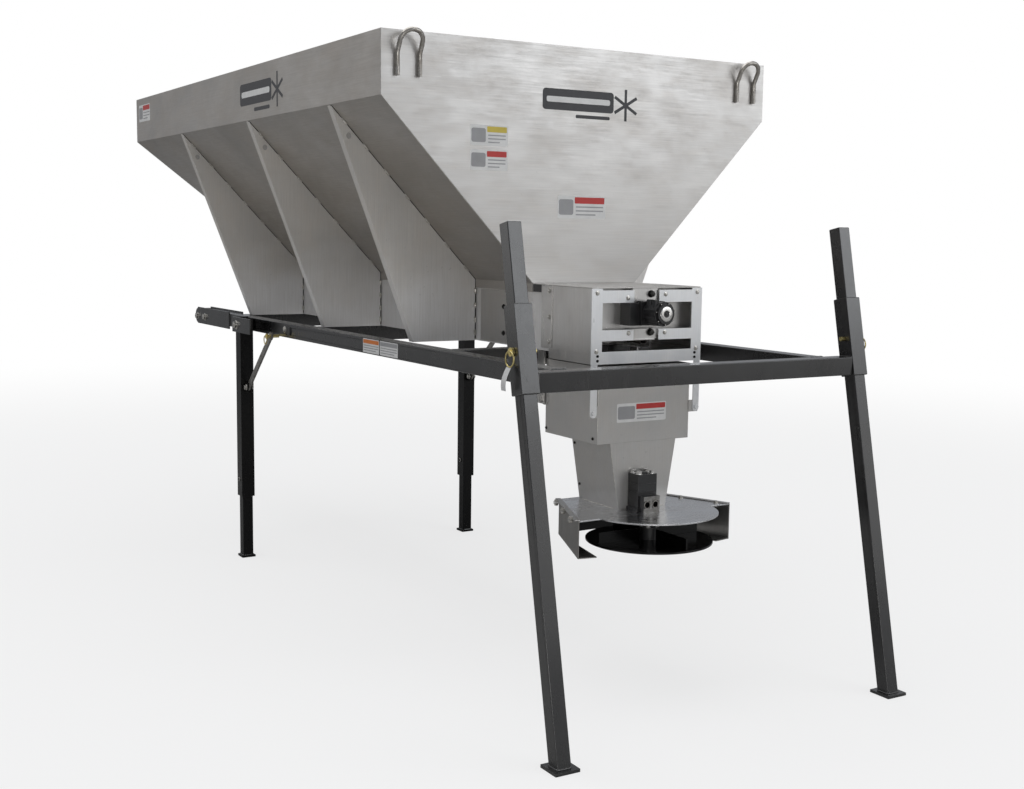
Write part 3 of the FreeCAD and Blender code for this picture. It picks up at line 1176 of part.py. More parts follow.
conveyor_shaft("drive_shaft", "#drive_y")
driven_bore = rod("driven_wheel_bore", "#shaft_radius", "x",
                  ("#trough_half - #wheel_inset - #margin", "#drive_y", "#shaft_height"),
                  "#wheel_width + 2*#margin")
driven_blank = roller_wheel("driven_wheel_blank", "#drive_y", "#shaft_height")
driven_wheel = cut("driven_wheel", driven_blank, [driven_bore])
sprocket_pair("drive_sprockets", "drive_y", [driven_wheel])
conveyor_shaft("idler_shaft", "#idler_y")
sprocket_pair("idler_sprockets", "idler_y", [])
shaft_bearings()
chain_strands()
chain_slats()
gearbox()
gearbox_sprocket()
roller_chain()
conveyor_motor()

chute_box()
chute_taper()
chute_deck()
for label, side in SIDES.items():
    deflector(f"deflector_{label}", side)
spinner_motor()
spinner_shaft()
spinner_disc()
spinner_fins()
chute_straps()
chute_hinge()

frame_rails()
cross_tubes()
leg_sleeves()
front_leg_brackets()
roller_brackets()
for label, side in SIDES.items():
    rear_leg(f"rear_leg_{label}", side)
    hitch_pin(f"hitch_pin_{label}", side)
    front_leg(f"front_leg_{label}", side)
    front_foot(f"front_foot_{label}", side)
    brace(f"brace_{label}", side)
    brace_pin(f"brace_pin_{label}", side)
    front_roller(f"front_roller_{label}", side)
keep("body_bolts", group("body_bolts", rear_face_bolts() + side_bolts()))
keep("frame_bolts", group("frame_bolts", frame_bolts()))

doc.recompute()
for item in doc.Objects:
    if "Invalid" in item.State or "Error" in item.State:
        raise RuntimeError(f"{item.Name} did not recompute")
for piece in parts:
    if piece.Shape.isNull() or not piece.Shape.isValid():
        raise RuntimeError(f"{piece.Label} has no valid shape")

os.makedirs("parts", exist_ok=True)
for piece in parts:
    piece.Shape.exportStep(f"parts/{piece.Label}.step")
print(len(parts), "sub-parts written")
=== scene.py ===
import math

import bpy
from mathutils import Matrix, Vector


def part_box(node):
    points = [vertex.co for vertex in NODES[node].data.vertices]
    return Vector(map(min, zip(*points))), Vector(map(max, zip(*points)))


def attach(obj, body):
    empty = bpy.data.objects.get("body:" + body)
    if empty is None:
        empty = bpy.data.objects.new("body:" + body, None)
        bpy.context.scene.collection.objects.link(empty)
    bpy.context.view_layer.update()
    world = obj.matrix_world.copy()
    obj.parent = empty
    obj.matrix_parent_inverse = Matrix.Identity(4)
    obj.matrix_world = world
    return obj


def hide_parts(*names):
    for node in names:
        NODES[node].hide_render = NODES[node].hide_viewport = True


# A slide-in hopper salt spreader on its leg stand, in metres.
# +Z is up, +Y points to the truck's cab, and the origin is on the ground under the middle.

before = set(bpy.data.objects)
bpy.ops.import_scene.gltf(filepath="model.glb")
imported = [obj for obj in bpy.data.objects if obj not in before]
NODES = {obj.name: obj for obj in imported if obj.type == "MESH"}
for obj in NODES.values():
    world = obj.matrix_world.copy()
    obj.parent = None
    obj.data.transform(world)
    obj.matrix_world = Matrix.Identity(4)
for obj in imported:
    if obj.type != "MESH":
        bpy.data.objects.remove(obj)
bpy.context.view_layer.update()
SIDES = {"left": -1, "right": 1}
X, Y, Z = Vector((1, 0, 0)), Vector((0, 1, 0)), Vector((0, 0, 1))
SKIN = 0.0002  # how far a thin plate stands off the sheet under it

# hopper and trough
REAR_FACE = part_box("hopper_rear_wall")[0].y
HOPPER_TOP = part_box("hopper_rear_wall")[1].z
HALF_WIDTH = -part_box("hopper_side_left")[0].x
LIP_BOTTOM = 1.626
TROUGH_HALF = -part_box("trough_side_left")[0].x
TROUGH_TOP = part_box("trough_side_left")[1].z
MOTOR_HEIGHT = 1.051

# spinner chute
CHUTE_HALF = 0.157
TAPER_HALF_TOP, TAPER_HALF_BOTTOM = 0.113, 0.082
DECK_LOW, DECK_TOP = (corner.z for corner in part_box("chute_deck"))
DEFLECTOR_FRONT, DEFLECTOR_REAR = (0.1415, -0.912), (0.2595, -1.190)
MOTOR_BOLT_INSET = 0.010
PORTS_X, PORT_HEIGHT, PORT_RIM = (-0.035, -0.007), 0.524, 0.0105
PORT_BLOCK_X, PORT_BLOCK_TOP = (-0.046, 0.008), 0.547
CURTAIN_HALF, CURTAIN_FRONT, CURTAIN_BOW = 0.137, -0.914, 0.010
HUB_TOP = 0.455

# stand
TUBE = 0.0508
FRONT_LEG_X, FRONT_LEG_Y = 0.486, 0.793
REAR_FOOT_X, REAR_FOOT_Y = 0.545, -1.5535
BRACKET_GAP, BRACKET_WALL = 0.001, 0.006
RAIL_OUTER = 0.455


# ---- mesh building

def new_object(name, data):
    """An object in the scene that holds the data."""
    thing = bpy.data.objects.new(name, data)
    bpy.context.scene.collection.objects.link(thing)
    return thing


class Mesh:
    """Collects faces for one piece. Each face keeps the number of its material."""

    def __init__(self):
        self.verts = []
        self.faces = []
        self.slots = []

    def add(self, verts, faces, slot=0):
        first = len(self.verts)
        self.verts += [tuple(v) for v in verts]
        self.faces += [tuple(first + i for i in face) for face in faces]
        self.slots += [slot] * len(faces)

    def box(self, low, high, slot=0):
        verts = [(x, y, z) for x in (low[0], high[0]) for y in (low[1], high[1]) for z in (low[2], high[2])]
        faces = [(0, 1, 3, 2), (4, 6, 7, 5), (0, 4, 5, 1), (2, 3, 7, 6), (0, 2, 6, 4), (1, 5, 7, 3)]
        self.add(verts, faces, slot)

    def turned(self, start, axis, profile, sides=24, slot=0, closed=False):
        """A profile of (distance along the axis, radius) pairs turned about the axis."""
        axis = Vector(axis).normalized()
        across = axis.orthogonal().normalized()
        if abs(axis.z) < 0.9:
            across = axis.cross(Z).normalized()
        other = axis.cross(across)
        verts = []
        for along, radius in profile:
            for k in range(sides):
                angle = 2 * math.pi * k / sides
                spoke = across * math.cos(angle) + other * math.sin(angle)
                verts.append(Vector(start) + axis * along + spoke * radius)
        self.add_rings(verts, len(profile), sides, slot, closed)

    def add_rings(self, verts, rows, sides, slot, closed):
        """Faces between rings of vertices, joined end to end or else with a cap at each end."""
        faces = []
        for i in range(rows if closed else rows - 1):
            j = (i + 1) % rows
            for k in range(sides):
                after = (k + 1) % sides
                faces.append((i * sides + k, i * sides + after, j * sides + after, j * sides + k))
        if not closed:
            faces.append(tuple(reversed(range(sides))))
            faces.append(tuple(range((rows - 1) * sides, rows * sides)))
        self.add(verts, faces, slot)

    def sweep(self, points, radius, sides=10, slot=0, closed=False):
        """A round bar along points. radius is a number or a function of the share of the way."""
        points = [Vector(p) for p in points]
        count = len(points)
        size = radius if callable(radius) else (lambda share: radius)
        verts = []
        up = None
        for i, place in enumerate(points):
            ahead = points[(i + 1) % count] if closed or i + 1 < count else place
            behind = points[i - 1] if closed or i > 0 else place
            along = (ahead - behind).normalized()
            if up is None:
                up = along.orthogonal().normalized()
            up = (up - along * up.dot(along)).normalized()
            side = along.cross(up)
            r = size(i / max(1, count - 1))
            for k in range(sides):
                angle = 2 * math.pi * k / sides
                verts.append(place + (up * math.cos(angle) + side * math.sin(angle)) * r)
        self.add_rings(verts, count, sides, slot, closed)

    def slab(self, outline, origin, u, v, low, high, slot=0):
        """A flat outline of (u, v) pairs on a plane, between two heights above it."""
        normal = u.cross(v)
        count = len(outline)
        verts = [origin + u * a + v * b + normal * h for h in (low, high) for a, b in outline]
        faces = [tuple(reversed(range(count))), tuple(range(count, 2 * count))]
        faces += [(i, (i + 1) % count, count + (i + 1) % count, count + i) for i in range(count)]
        self.add(verts, faces, slot)

    def hexagon_head(self, start, axis, radius, height, slot=0, washer=0.0):
        """A chamfered hexagon head, on a washer if washer gives its radius."""
        axis = Vector(axis).normalized()
        thick = height * 0.22 if washer else 0.0
        if washer:
            self.turned(start, axis, [(0, washer), (thick * 0.7, washer), (thick, washer * 0.94)], 20, slot)
        low = Vector(start) + axis * thick
        self.turned(low, axis, [(0, radius), (height * 0.82, radius), (height, radius * 0.84)], 6, slot)
        self.turned(low + axis * height, axis, [(0, radius * 0.62), (height * 0.05, radius * 0.5)], 16, slot)

    def bead(self, start, end, width, slot=0):
        """A rippled weld bead between two points."""
        start, end = Vector(start), Vector(end)
        steps = max(4, int((end - start).length / (width * 0.42)))
        places = [start.lerp(end, i / steps) for i in range(steps + 1)]

        def ripple(share):
            taper = min(1.0, 6 * share + 0.25, 6 * (1 - share) + 0.25)
            wave = 0.88 + 0.12 * math.cos(share * steps * math.pi)
            return width * 0.5 * taper * wave

        self.sweep(places, ripple, 8, slot)

    def make(self, name, body, materials, round_edges=0.0, smooth=35):
        """Turn what was collected into a piece that rides on a body."""
        data = bpy.data.meshes.new(name)
        data.from_pydata(self.verts, [], self.faces)
        for material in materials if isinstance(materials, (list, tuple)) else [materials]:
            data.materials.append(material)
        data.polygons.foreach_set("material_index", self.slots)
        data.shade_smooth()
        data.set_sharp_from_angle(angle=math.radians(smooth))
        piece = new_object(name, data)
        if round_edges:
            rounded(piece, round_edges, smooth)
        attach(piece, body)
        return piece


def rounded(piece, width, angle=35):
    """A bevel modifier on the edges sharper than an angle in degrees."""
    bevel = piece.modifiers.new("rounded_edges", "BEVEL")
    bevel.width = width
    bevel.segments = 2
    bevel.limit_method = "ANGLE"
    bevel.angle_limit = math.radians(angle)
    bevel.harden_normals = True


def rounded_rectangle(left, right, low, high, radius, steps=4):
    """The outline of a rectangle with round corners, as (u, v) pairs."""
    corners = ((right - radius, high - radius, 0), (left + radius, high - radius, 90),
               (left + radius, low + radius, 180), (right - radius, low + radius, 270))
    outline = []
    for u, v, first in corners:
        for k in range(steps + 1):
            angle = math.radians(first + 90 * k / steps)
            outline.append((u + radius * math.cos(angle), v + radius * math.sin(angle)))
    return outline


# ---- materials

def empty_tree(owner):
    """The node tree of a material or a world, with nothing in it."""
    owner.use_nodes = True
    owner.node_tree.nodes.clear()
    return owner.node_tree


def new_node(tree, kind, **values):
    """A node with some inputs set. An underscore in an input's name stands for a space."""
    node = tree.nodes.new(kind)
    for name, value in values.items():
        node.inputs[name.replace("_", " ")].default_value = value
    return node


class Shader:
    """A principled material with short calls for its nodes."""

    def __init__(self, name, metallic, specular=0.5, coat=0.0, coat_roughness=0.1):
        self.material = bpy.data.materials.new(name)
        self.tree = empty_tree(self.material)
        self.bsdf = new_node(self.tree, "ShaderNodeBsdfPrincipled", Metallic=metallic,
                             Specular_IOR_Level=specular, Coat_Weight=coat, Coat_Roughness=coat_roughness)
        output = new_node(self.tree, "ShaderNodeOutputMaterial")
        self.link(self.bsdf.outputs[0], output.inputs["Surface"])
        self.place = new_node(self.tree, "ShaderNodeTexCoord").outputs["Object"]

    def link(self, source, target):
        self.tree.links.new(source, target)

    def feed(self, value, socket):
        """Link another node's output, or set a colour or a number."""
        if isinstance(value, bpy.types.NodeSocket):
            self.link(value, socket)
        else:
            socket.default_value = (*value, 1) if isinstance(value, tuple) else value

    def noise(self, scale, stretch=(1, 1, 1), detail=4.0, rough=0.55, distort=0.0):
        mapping = new_node(self.tree, "ShaderNodeMapping", Scale=stretch)
        self.link(self.place, mapping.inputs["Vector"])
        texture = new_node(self.tree, "ShaderNodeTexNoise", Scale=scale, Detail=detail,
                           Roughness=rough, Distortion=distort)
        self.link(mapping.outputs[0], texture.inputs["Vector"])
        return texture.outputs["Fac"]

    def ramp(self, factor, stops):
        """Colours or grays at places between 0 and 1."""
        node = self.tree.nodes.new("ShaderNodeValToRGB")
        elements = node.color_ramp.elements
        while len(elements) < len(stops):
            elements.new(0.5)
        for element, (place, colour) in zip(elements, stops):
            element.position = place
            shade = colour if isinstance(colour, tuple) else (colour,) * 3
            element.color = (*shade, 1)
        self.link(factor, node.inputs["Fac"])
        return node.outputs["Color"]

    def mix(self, factor, first, second):
        node = self.tree.nodes.new("ShaderNodeMix")
        node.data_type = "RGBA"
        for number, value in ((0, factor), (6, first), (7, second)):
            self.feed(value, node.inputs[number])
        return node.outputs[2]

    def span(self, factor, low, high, start=0.0, end=1.0):
        """Carry a factor from start..end over to low..high."""
        node = new_node(self.tree, "ShaderNodeMapRange", From_Min=start, From_Max=end,
                        To_Min=low, To_Max=high)
        self.link(factor, node.inputs["Value"])
        return node.outputs[0]

    def sum(self, first, second, operation="ADD"):
        node = self.tree.nodes.new("ShaderNodeMath")
        node.operation = operation
        self.feed(first, node.inputs[0])
        self.feed(second, node.inputs[1])
        return node.outputs[0]

    def times(self, first, second):
        return self.sum(first, second, "MULTIPLY")

    def height(self, top, bottom, most=0.8):
        """0 above top, growing to most at bottom, with a cloudy border."""
        split = self.tree.nodes.new("ShaderNodeSeparateXYZ")
        self.link(self.place, split.inputs[0])
        cloudy = self.sum(split.outputs["Z"], self.span(self.noise(6), -0.09, 0.09, 0.3, 0.7))
        return self.span(cloudy, 0.0, most, top, bottom)

    def edges(self, radius, low=0.965, high=0.90):
        """A mask that is 1 along sharp edges, from how much a rounded normal leaves the true one."""
        bevel = new_node(self.tree, "ShaderNodeBevel", Radius=radius)
        bevel.samples = 4
        geometry = new_node(self.tree, "ShaderNodeNewGeometry")
        dot = new_node(self.tree, "ShaderNodeVectorMath")
        dot.operation = "DOT_PRODUCT"
        self.link(bevel.outputs[0], dot.inputs[0])
        self.link(geometry.outputs["Normal"], dot.inputs[1])
        return self.span(dot.outputs["Value"], 0.0, 1.0, low, high)

    def bump(self, height, strength, distance):
        node = new_node(self.tree, "ShaderNodeBump", Strength=strength, Distance=distance)
        self.link(height, node.inputs["Height"])
        self.link(node.outputs[0], self.bsdf.inputs["Normal"])

    def finish(self, colour, roughness):
        self.link(colour, self.bsdf.inputs["Base Color"])
        self.link(roughness, self.bsdf.inputs["Roughness"])
        return self.material


def brushed_sheet(name, grain, tone, roughness, cloud, metallic=1.0, painted_light_span=None):
    """Mill-brushed stainless sheet. grain is the stretch along each axis: small runs with the lines.

    The last argument gives two heights: from the first down to the second the sheet is painted paler and
    bluer, a painted light on its lower part.
    """
    s = Shader(name, metallic)
    s.bsdf.inputs["Anisotropic"].default_value = 0.25
    lines = s.noise(420, grain, 3.0, 0.6)
    patches = s.noise(3.2, (1, 1, 1.4), 5.0, 0.62, 0.6)
    smears = s.noise(14, tuple(g * 0.5 + 0.5 for g in grain), 4.0, 0.7)
    dark = tuple(c * (1 - cloud) for c in tone)
    light = tuple(min(1.0, c * (1 + cloud * 0.7)) for c in tone)
    warm = tuple(c * k for c, k in zip(tone, (1.02, 0.975, 0.93)))
    base = s.ramp(patches, [(0.30, dark), (0.52, tone), (0.72, light)])
    base = s.mix(s.span(smears, 0.0, 0.75, 0.42, 0.78), base, warm)
    if painted_light_span:
        # Painted light: paler and bluer towards the bottom.
        painted_light_tone = tuple(min(1.0, c * k) for c, k in zip(tone, (1.22, 1.26, 1.34)))
        base = s.mix(s.height(*painted_light_span), base, painted_light_tone)
    base = s.mix(s.span(lines, 0.0, 0.55, 0.25, 0.75), base, tuple(c * 0.84 for c in tone))
    spots = s.ramp(s.noise(95, (1, 1, 1), 2.0, 0.5), [(0.70, 0.0), (0.78, 1.0)])
    base = s.mix(s.times(spots, 0.35), base, tuple(c * 0.62 for c in tone))
    base = s.mix(s.times(s.edges(0.0016), 0.5), base, tuple(min(1.0, c * 1.28) for c in tone))
    rough = s.sum(s.span(smears, roughness - 0.06, roughness + 0.10, 0.3, 0.7),
                  s.span(lines, -0.05, 0.06, 0.3, 0.7))
    s.bump(s.sum(lines, s.times(patches, 0.6)), 0.10, 0.0006)
    return s.finish(base, rough)


def powder_coat(name, tone=(0.0052, 0.0050, 0.0053), roughness=0.25, specular=0.8, coat=0.5):
    """Semi-gloss black powder coat with fine orange peel, dust and rubbed edges."""
    s = Shader(name, 0.0, specular, coat, coat_roughness=0.16)
    peel = s.noise(900, (1, 1, 1), 2.0, 0.5)
    dust = s.noise(7, (1, 1, 0.5), 6.0, 0.7, 0.4)
    scuffs = s.ramp(s.noise(60, (1, 1, 0.3), 3.0, 0.6, 0.4), [(0.66, 0.0), (0.82, 1.0)])
    base = s.ramp(dust, [(0.30, tone), (0.66, tuple(c * 1.7 for c in tone)),
                         (0.85, tuple(c * 2.6 for c in tone))])
    base = s.mix(s.times(scuffs, 0.22), base, (0.035, 0.033, 0.032))
    base = s.mix(s.times(s.edges(0.0015), 0.35), base, (0.07, 0.068, 0.066))
    rough = s.sum(s.span(dust, roughness - 0.05, roughness + 0.12, 0.3, 0.75),
                  s.span(scuffs, 0.0, 0.16))
    s.bump(s.sum(peel, s.times(scuffs, 0.1)), 0.12, 0.0003)
    return s.finish(base, rough)


def cast_paint(name, tone=(0.006, 0.006, 0.0065)):
    """Satin black paint over a sand casting."""
    s = Shader(name, metallic=0.0, specular=0.55, coat=0.2, coat_roughness=0.3)
    grain = s.noise(320, (1, 1, 1), 4.0, 0.7)
    wear = s.noise(45, (1, 1, 1), 5.0, 0.7)
    base = s.ramp(wear, [(0.35, tone), (0.70, tuple(c * 2.4 for c in tone))])
    base = s.mix(s.times(s.edges(0.0014), 0.45), base, (0.13, 0.125, 0.12))
    s.bump(grain, 0.35, 0.0006)
    return s.finish(base, s.span(wear, 0.34, 0.55, 0.3, 0.7))


def bare_metal(name, tone, roughness, grime=0.35, scale=70):
    """Plain or plated steel with grime in patches and bright edges."""
    s = Shader(name, metallic=1.0)
    fine = s.noise(scale * 6, (1, 1, 1), 3.0, 0.6)
    patches = s.noise(scale, (1, 1, 1), 5.0, 0.68, 0.5)
    dirty = tuple(c * (1 - grime) * k for c, k in zip(tone, (1.0, 0.96, 0.9)))
    base = s.ramp(patches, [(0.34, dirty), (0.58, tone), (0.80, tuple(min(1.0, c * 1.15) for c in tone))])
    base = s.mix(s.times(s.edges(0.0010), 0.5), base, tuple(min(1.0, c * 1.4) for c in tone))
    s.bump(s.sum(fine, patches), 0.14, 0.0004)
    rough = s.sum(s.span(patches, roughness + 0.14, roughness - 0.04, 0.3, 0.7), s.span(fine, -0.04, 0.05))
    return s.finish(base, rough)


def vinyl(name, tone, roughness=0.42):
    """Printed film or moulded plastic, slightly faded and scuffed."""
    s = Shader(name, metallic=0.0, specular=0.45)
    fade = s.noise(34, (1, 1, 1), 4.0, 0.6)
    scuff = s.noise(260, (1, 1, 1), 3.0, 0.7)
    base = s.ramp(fade, [(0.30, tuple(c * 0.90 for c in tone)), (0.65, tone)])
    base = s.mix(s.span(scuff, 0.0, 0.12, 0.55, 0.8), base, tuple(c * 0.72 for c in tone))
    s.bump(scuff, 0.08, 0.0002)
    return s.finish(base, s.span(scuff, roughness - 0.05, roughness + 0.12, 0.3, 0.7))


def painted_shade_black(name):
    """Painted shade: near-black for the inside of a port or a slot and for a joint gap, varied by a noise
    like a film of dirt.
    """
    s = Shader(name, metallic=0.0, specular=0.2)
    dirt = s.noise(180, (1, 1, 1), 4.0, 0.7)
    base = s.ramp(dirt, [(0.35, (0.004, 0.004, 0.004)), (0.75, (0.020, 0.018, 0.016))])
    s.bump(dirt, 0.2, 0.0004)
    return s.finish(base, s.span(dirt, 0.6, 0.85))


ALONG_X, ALONG_Y, ALONG_Z = (0.02, 1, 1), (1, 0.02, 1), (1, 1, 0.02)
# Painted shade: a darker, browner copy of the sheet than the rear wall's, for the shade on the
# downward-facing slopes.
STEEL_SIDE = brushed_sheet("steel_side", ALONG_Y, (0.468, 0.447, 0.421), 0.38, 0.20)
STEEL_REAR = brushed_sheet("steel_rear", ALONG_X, (0.600, 0.588, 0.572), 0.42, 0.05, 0.9)
STEEL_PLATE = brushed_sheet("steel_plate", ALONG_Z, (0.560, 0.548, 0.530), 0.37, 0.15)
# Painted light: a paler tone than the other sheets, and paler still towards the bottom, for the light on the
# gussets and the trough sides.
STEEL_GUSSET = brushed_sheet("steel_gusset", ALONG_Z, (0.760, 0.735, 0.695), 0.46, 0.12, 0.42, (1.22, 0.98))
STEEL_CHUTE = brushed_sheet("steel_chute", ALONG_Z, (0.530, 0.521, 0.506), 0.36, 0.14, 0.55)
# Painted light: a pale bluish copy of the sheet for the light on the rear frame and the chute straps.
STEEL_FRAME = brushed_sheet("steel_frame", ALONG_Z, (0.860, 0.876, 0.892), 0.36, 0.10, 0.70)
# Painted shade: a dark copy of the sheet for the shaded deflectors.
STEEL_DARK = brushed_sheet("steel_dark", ALONG_Z, (0.330, 0.322, 0.310), 0.36, 0.22)
# Painted light: a pale bluish copy of the sheet for the light on the deck.
STEEL_DECK = brushed_sheet("steel_deck", ALONG_X, (0.760, 0.770, 0.790), 0.22, 0.16)
STEEL_BOX = brushed_sheet("steel_box", ALONG_Z, (0.600, 0.592, 0.580), 0.34, 0.12)
STEEL_DULL = bare_metal("steel_dull", (0.30, 0.285, 0.265), 0.46, 0.45, 40)
STEEL_BAR = bare_metal("steel_bar", (0.47, 0.45, 0.42), 0.26, 0.35, 60)
STEEL_WELD = bare_metal("steel_weld", (0.66, 0.64, 0.60), 0.30, 0.45, 120)
BOLT = bare_metal("bolt_plated", (0.64, 0.63, 0.60), 0.24, 0.35, 140)
BOLT_DARK = bare_metal("bolt_black", (0.060, 0.058, 0.056), 0.38, 0.4, 140)
PORT_GRAY = bare_metal("port_gray", (0.24, 0.235, 0.225), 0.42, 0.4, 90)
CHROME = bare_metal("chrome_plated", (0.80, 0.80, 0.79), 0.13, 0.15, 150)
CHAIN = bare_metal("chain_oiled", (0.17, 0.155, 0.14), 0.42, 0.5, 90)
RUBBER = vinyl("black_rubber", (0.0045, 0.0045, 0.0048), 0.62)
ZINC = bare_metal("yellow_zinc", (0.78, 0.66, 0.30), 0.28, 0.35, 110)
BLACK = powder_coat("black_powder")
BLACK_LEG = powder_coat("black_legs", (0.0022, 0.0021, 0.0022), 0.28, 0.22, 0.05)
BLACK_DISC = powder_coat("black_disc", (0.0015, 0.0015, 0.0016), 0.16, 0.30, 0.10)
BRACE_GRAY = bare_metal("brace_plated", (0.40, 0.39, 0.37), 0.34, 0.5, 60)
MOTOR = cast_paint("motor_paint")
SHADE_BLACK = painted_shade_black("painted_shade_dark")
WHITE = vinyl("film_white", (0.80, 0.80, 0.79))
RED = vinyl("film_red", (0.56, 0.045, 0.04))
ORANGE = vinyl("film_orange", (0.72, 0.20, 0.03))
YELLOW = vinyl("film_yellow", (0.66, 0.52, 0.08))
GRAY = vinyl("film_gray", (0.36, 0.36, 0.37))
CHARCOAL = vinyl("film_charcoal", (0.030, 0.030, 0.034), 0.35)

NODE_MATERIALS = {
    STEEL_SIDE: ["hopper_side_left", "hopper_side_right"],
    STEEL_REAR: ["hopper_rear_wall", "hopper_front_wall"],
    STEEL_PLATE: ["inverted_vee", "cross_braces", "trough_covers", "conveyor_floor", "feed_gate"],
    STEEL_CHUTE: ["chute_box", "chute_taper"],
    STEEL_FRAME: ["rear_frame", "chute_straps"],
    STEEL_DARK: ["deflector_left", "deflector_right"],
    STEEL_DECK: ["chute_deck"],
    STEEL_GUSSET: ["gussets_left", "gussets_right", "trough_side_left", "trough_side_right"],
    STEEL_BOX: ["extension_skirts", "gearbox_plate", "chute_hinge"],
    STEEL_DULL: ["drive_shaft", "drive_sprockets", "idler_shaft", "idler_sprockets", "shaft_bearings",
                 "chain_slats", "gearbox_sprocket", "front_roller_left", "front_roller_right"],
    STEEL_BAR: ["lifting_loops"],
    BOLT: ["body_bolts", "frame_bolts"],
    ZINC: ["hitch_pin_left", "hitch_pin_right", "brace_pin_left", "brace_pin_right"],
    BLACK: ["frame_rails", "cross_tubes", "leg_sleeves", "front_leg_brackets", "roller_brackets",
            "rear_leg_left", "rear_leg_right"],
    BLACK_LEG: ["front_leg_left", "front_leg_right", "front_foot_left", "front_foot_right"],
    BRACE_GRAY: ["brace_left", "brace_right"],
    BLACK_DISC: ["spinner_disc", "spinner_fins"],
    MOTOR: ["gearbox", "conveyor_motor", "spinner_motor", "spinner_shaft"],
    CHAIN: ["chain_strands", "roller_chain"],
}
EDGE_ROUNDING = {BLACK: 0.0022, BLACK_LEG: 0.0022, MOTOR: 0.0016, STEEL_DULL: 0.0010, BLACK_DISC: 0.0012}


def weld_tree():
    """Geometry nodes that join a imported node's corners, so that its edges can be rounded."""
    tree = bpy.data.node_groups.new("join_corners", "GeometryNodeTree")
    for way in ("INPUT", "OUTPUT"):
        tree.interface.new_socket("Geometry", in_out=way, socket_type="NodeSocketGeometry")
    source = tree.nodes.new("NodeGroupInput")
    target = tree.nodes.new("NodeGroupOutput")
    clear = tree.nodes.new("GeometryNodeRemoveAttribute")
    clear.inputs["Name"].default_value = "custom_normal"
    merge = tree.nodes.new("GeometryNodeMergeByDistance")
    merge.inputs["Distance"].default_value = 0.00001
    tree.links.new(source.outputs[0], clear.inputs["Geometry"])
    tree.links.new(clear.outputs[0], merge.inputs["Geometry"])
    tree.links.new(merge.outputs[0], target.inputs[0])
    return tree


def dress_nodes():
    """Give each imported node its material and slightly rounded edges."""
    joined = weld_tree()
    for material, names in NODE_MATERIALS.items():
        for name in names:
            node = NODES[name]
            node.data.materials.clear()
            node.data.materials.append(material)
            corners = node.modifiers.new("join_corners", "NODES")
            corners.node_group = joined
            rounded(node, EDGE_ROUNDING.get(material, 0.0007))


# ---- hopper details

def label(name, body, origin, u, v, width, height, band, picture=0.0, lines=3):
    """A plain plate with a coloured band, a gray panel and a few gray bars, and no lettering."""
    m = Mesh()
    inset = height * 0.06
    left = inset + picture

    def plate(x0, x1, z0, z1, radius, low=SKIN, high=SKIN * 1.5, slot=2):
        outline = rounded_rectangle(x0, x1, height * z0, height * z1, height * radius)
        m.slab(outline, origin, u, v, low, high, slot)

    plate(0, width, 0, 1, 0.08, 0, SKIN, 0)
    plate(left, width - inset, 0.66, 0.94, 0.04, slot=1)
    if picture:
        plate(inset, picture - inset * 0.2, 0.16, 0.84, 0.10)
    for row in range(lines):
        top = 0.54 - 0.17 * row
        reach = width - inset * 2 - (width * 0.16 if row == lines - 1 else 0)
        plate(left + inset, reach, top - 0.055, top, 0.02)
    return m.make(name, body, [WHITE, band, GRAY])


def emblem(name, origin, u, v, width):
    """A generic dark band with a light stripe and a six-armed snow crystal."""
    m = Mesh()
    height = width * 0.30
    for x0, x1, z0, z1, radius, low, high, slot in (
            (0, 0.74, 0.28, 0.88, 0.10, 0, SKIN, 0), (0.04, 0.70, 0.50, 0.66, 0.05, SKIN, SKIN * 1.5, 1),
            (0.34, 0.70, 0.08, 0.18, 0.04, 0, SKIN, 0)):
        outline = rounded_rectangle(width * x0, width * x1, height * z0, height * z1, height * radius)
        m.slab(outline, origin, u, v, low, high, slot)
    middle_u, middle_v = width * 0.87, height * 0.54
    half, thick = height * 0.46, height * 0.045
    for arm in range(3):
        angle = math.radians(60 * arm + 30)
        cos, sin = math.cos(angle), math.sin(angle)
        corners = [(half, thick), (-half, thick), (-half, -thick), (half, -thick)]
        outline = [(middle_u + a * cos - b * sin, middle_v + a * sin + b * cos) for a, b in corners]
        m.slab(outline, origin, u, v, 0, SKIN * (1 + 0.1 * arm))
    return m.make(name, "spreader", [CHARCOAL, WHITE])


def hopper_details():
    """Emblems and plain labels on the rear wall and the left lip."""
    rear = Vector((0, REAR_FACE, 0))
    emblem("emblem_rear", rear + X * -0.157 + Z * 1.59, X, Z, 0.334)
    for place, x, z, width, height, band, picture in (
            ("upper", -0.392, 1.506, 0.121, 0.057, YELLOW, 0.050),
            ("lower", -0.392, 1.438, 0.121, 0.057, RED, 0.050),
            ("middle", -0.100, 1.309, 0.168, 0.066, RED, 0.055)):
        label(f"label_rear_{place}", "spreader", rear + X * x + Z * z, X, Z, width, height, band, picture)
    side = Vector((-HALF_WIDTH, 0, 0))
    emblem("emblem_side", side + Y * 0.300 + Z * 1.642, -Y, Z, 0.397)
    label("label_side", "spreader", side + Y * 1.551 + Z * 1.705, -Y, Z, 0.161, 0.068, RED, 0.055)


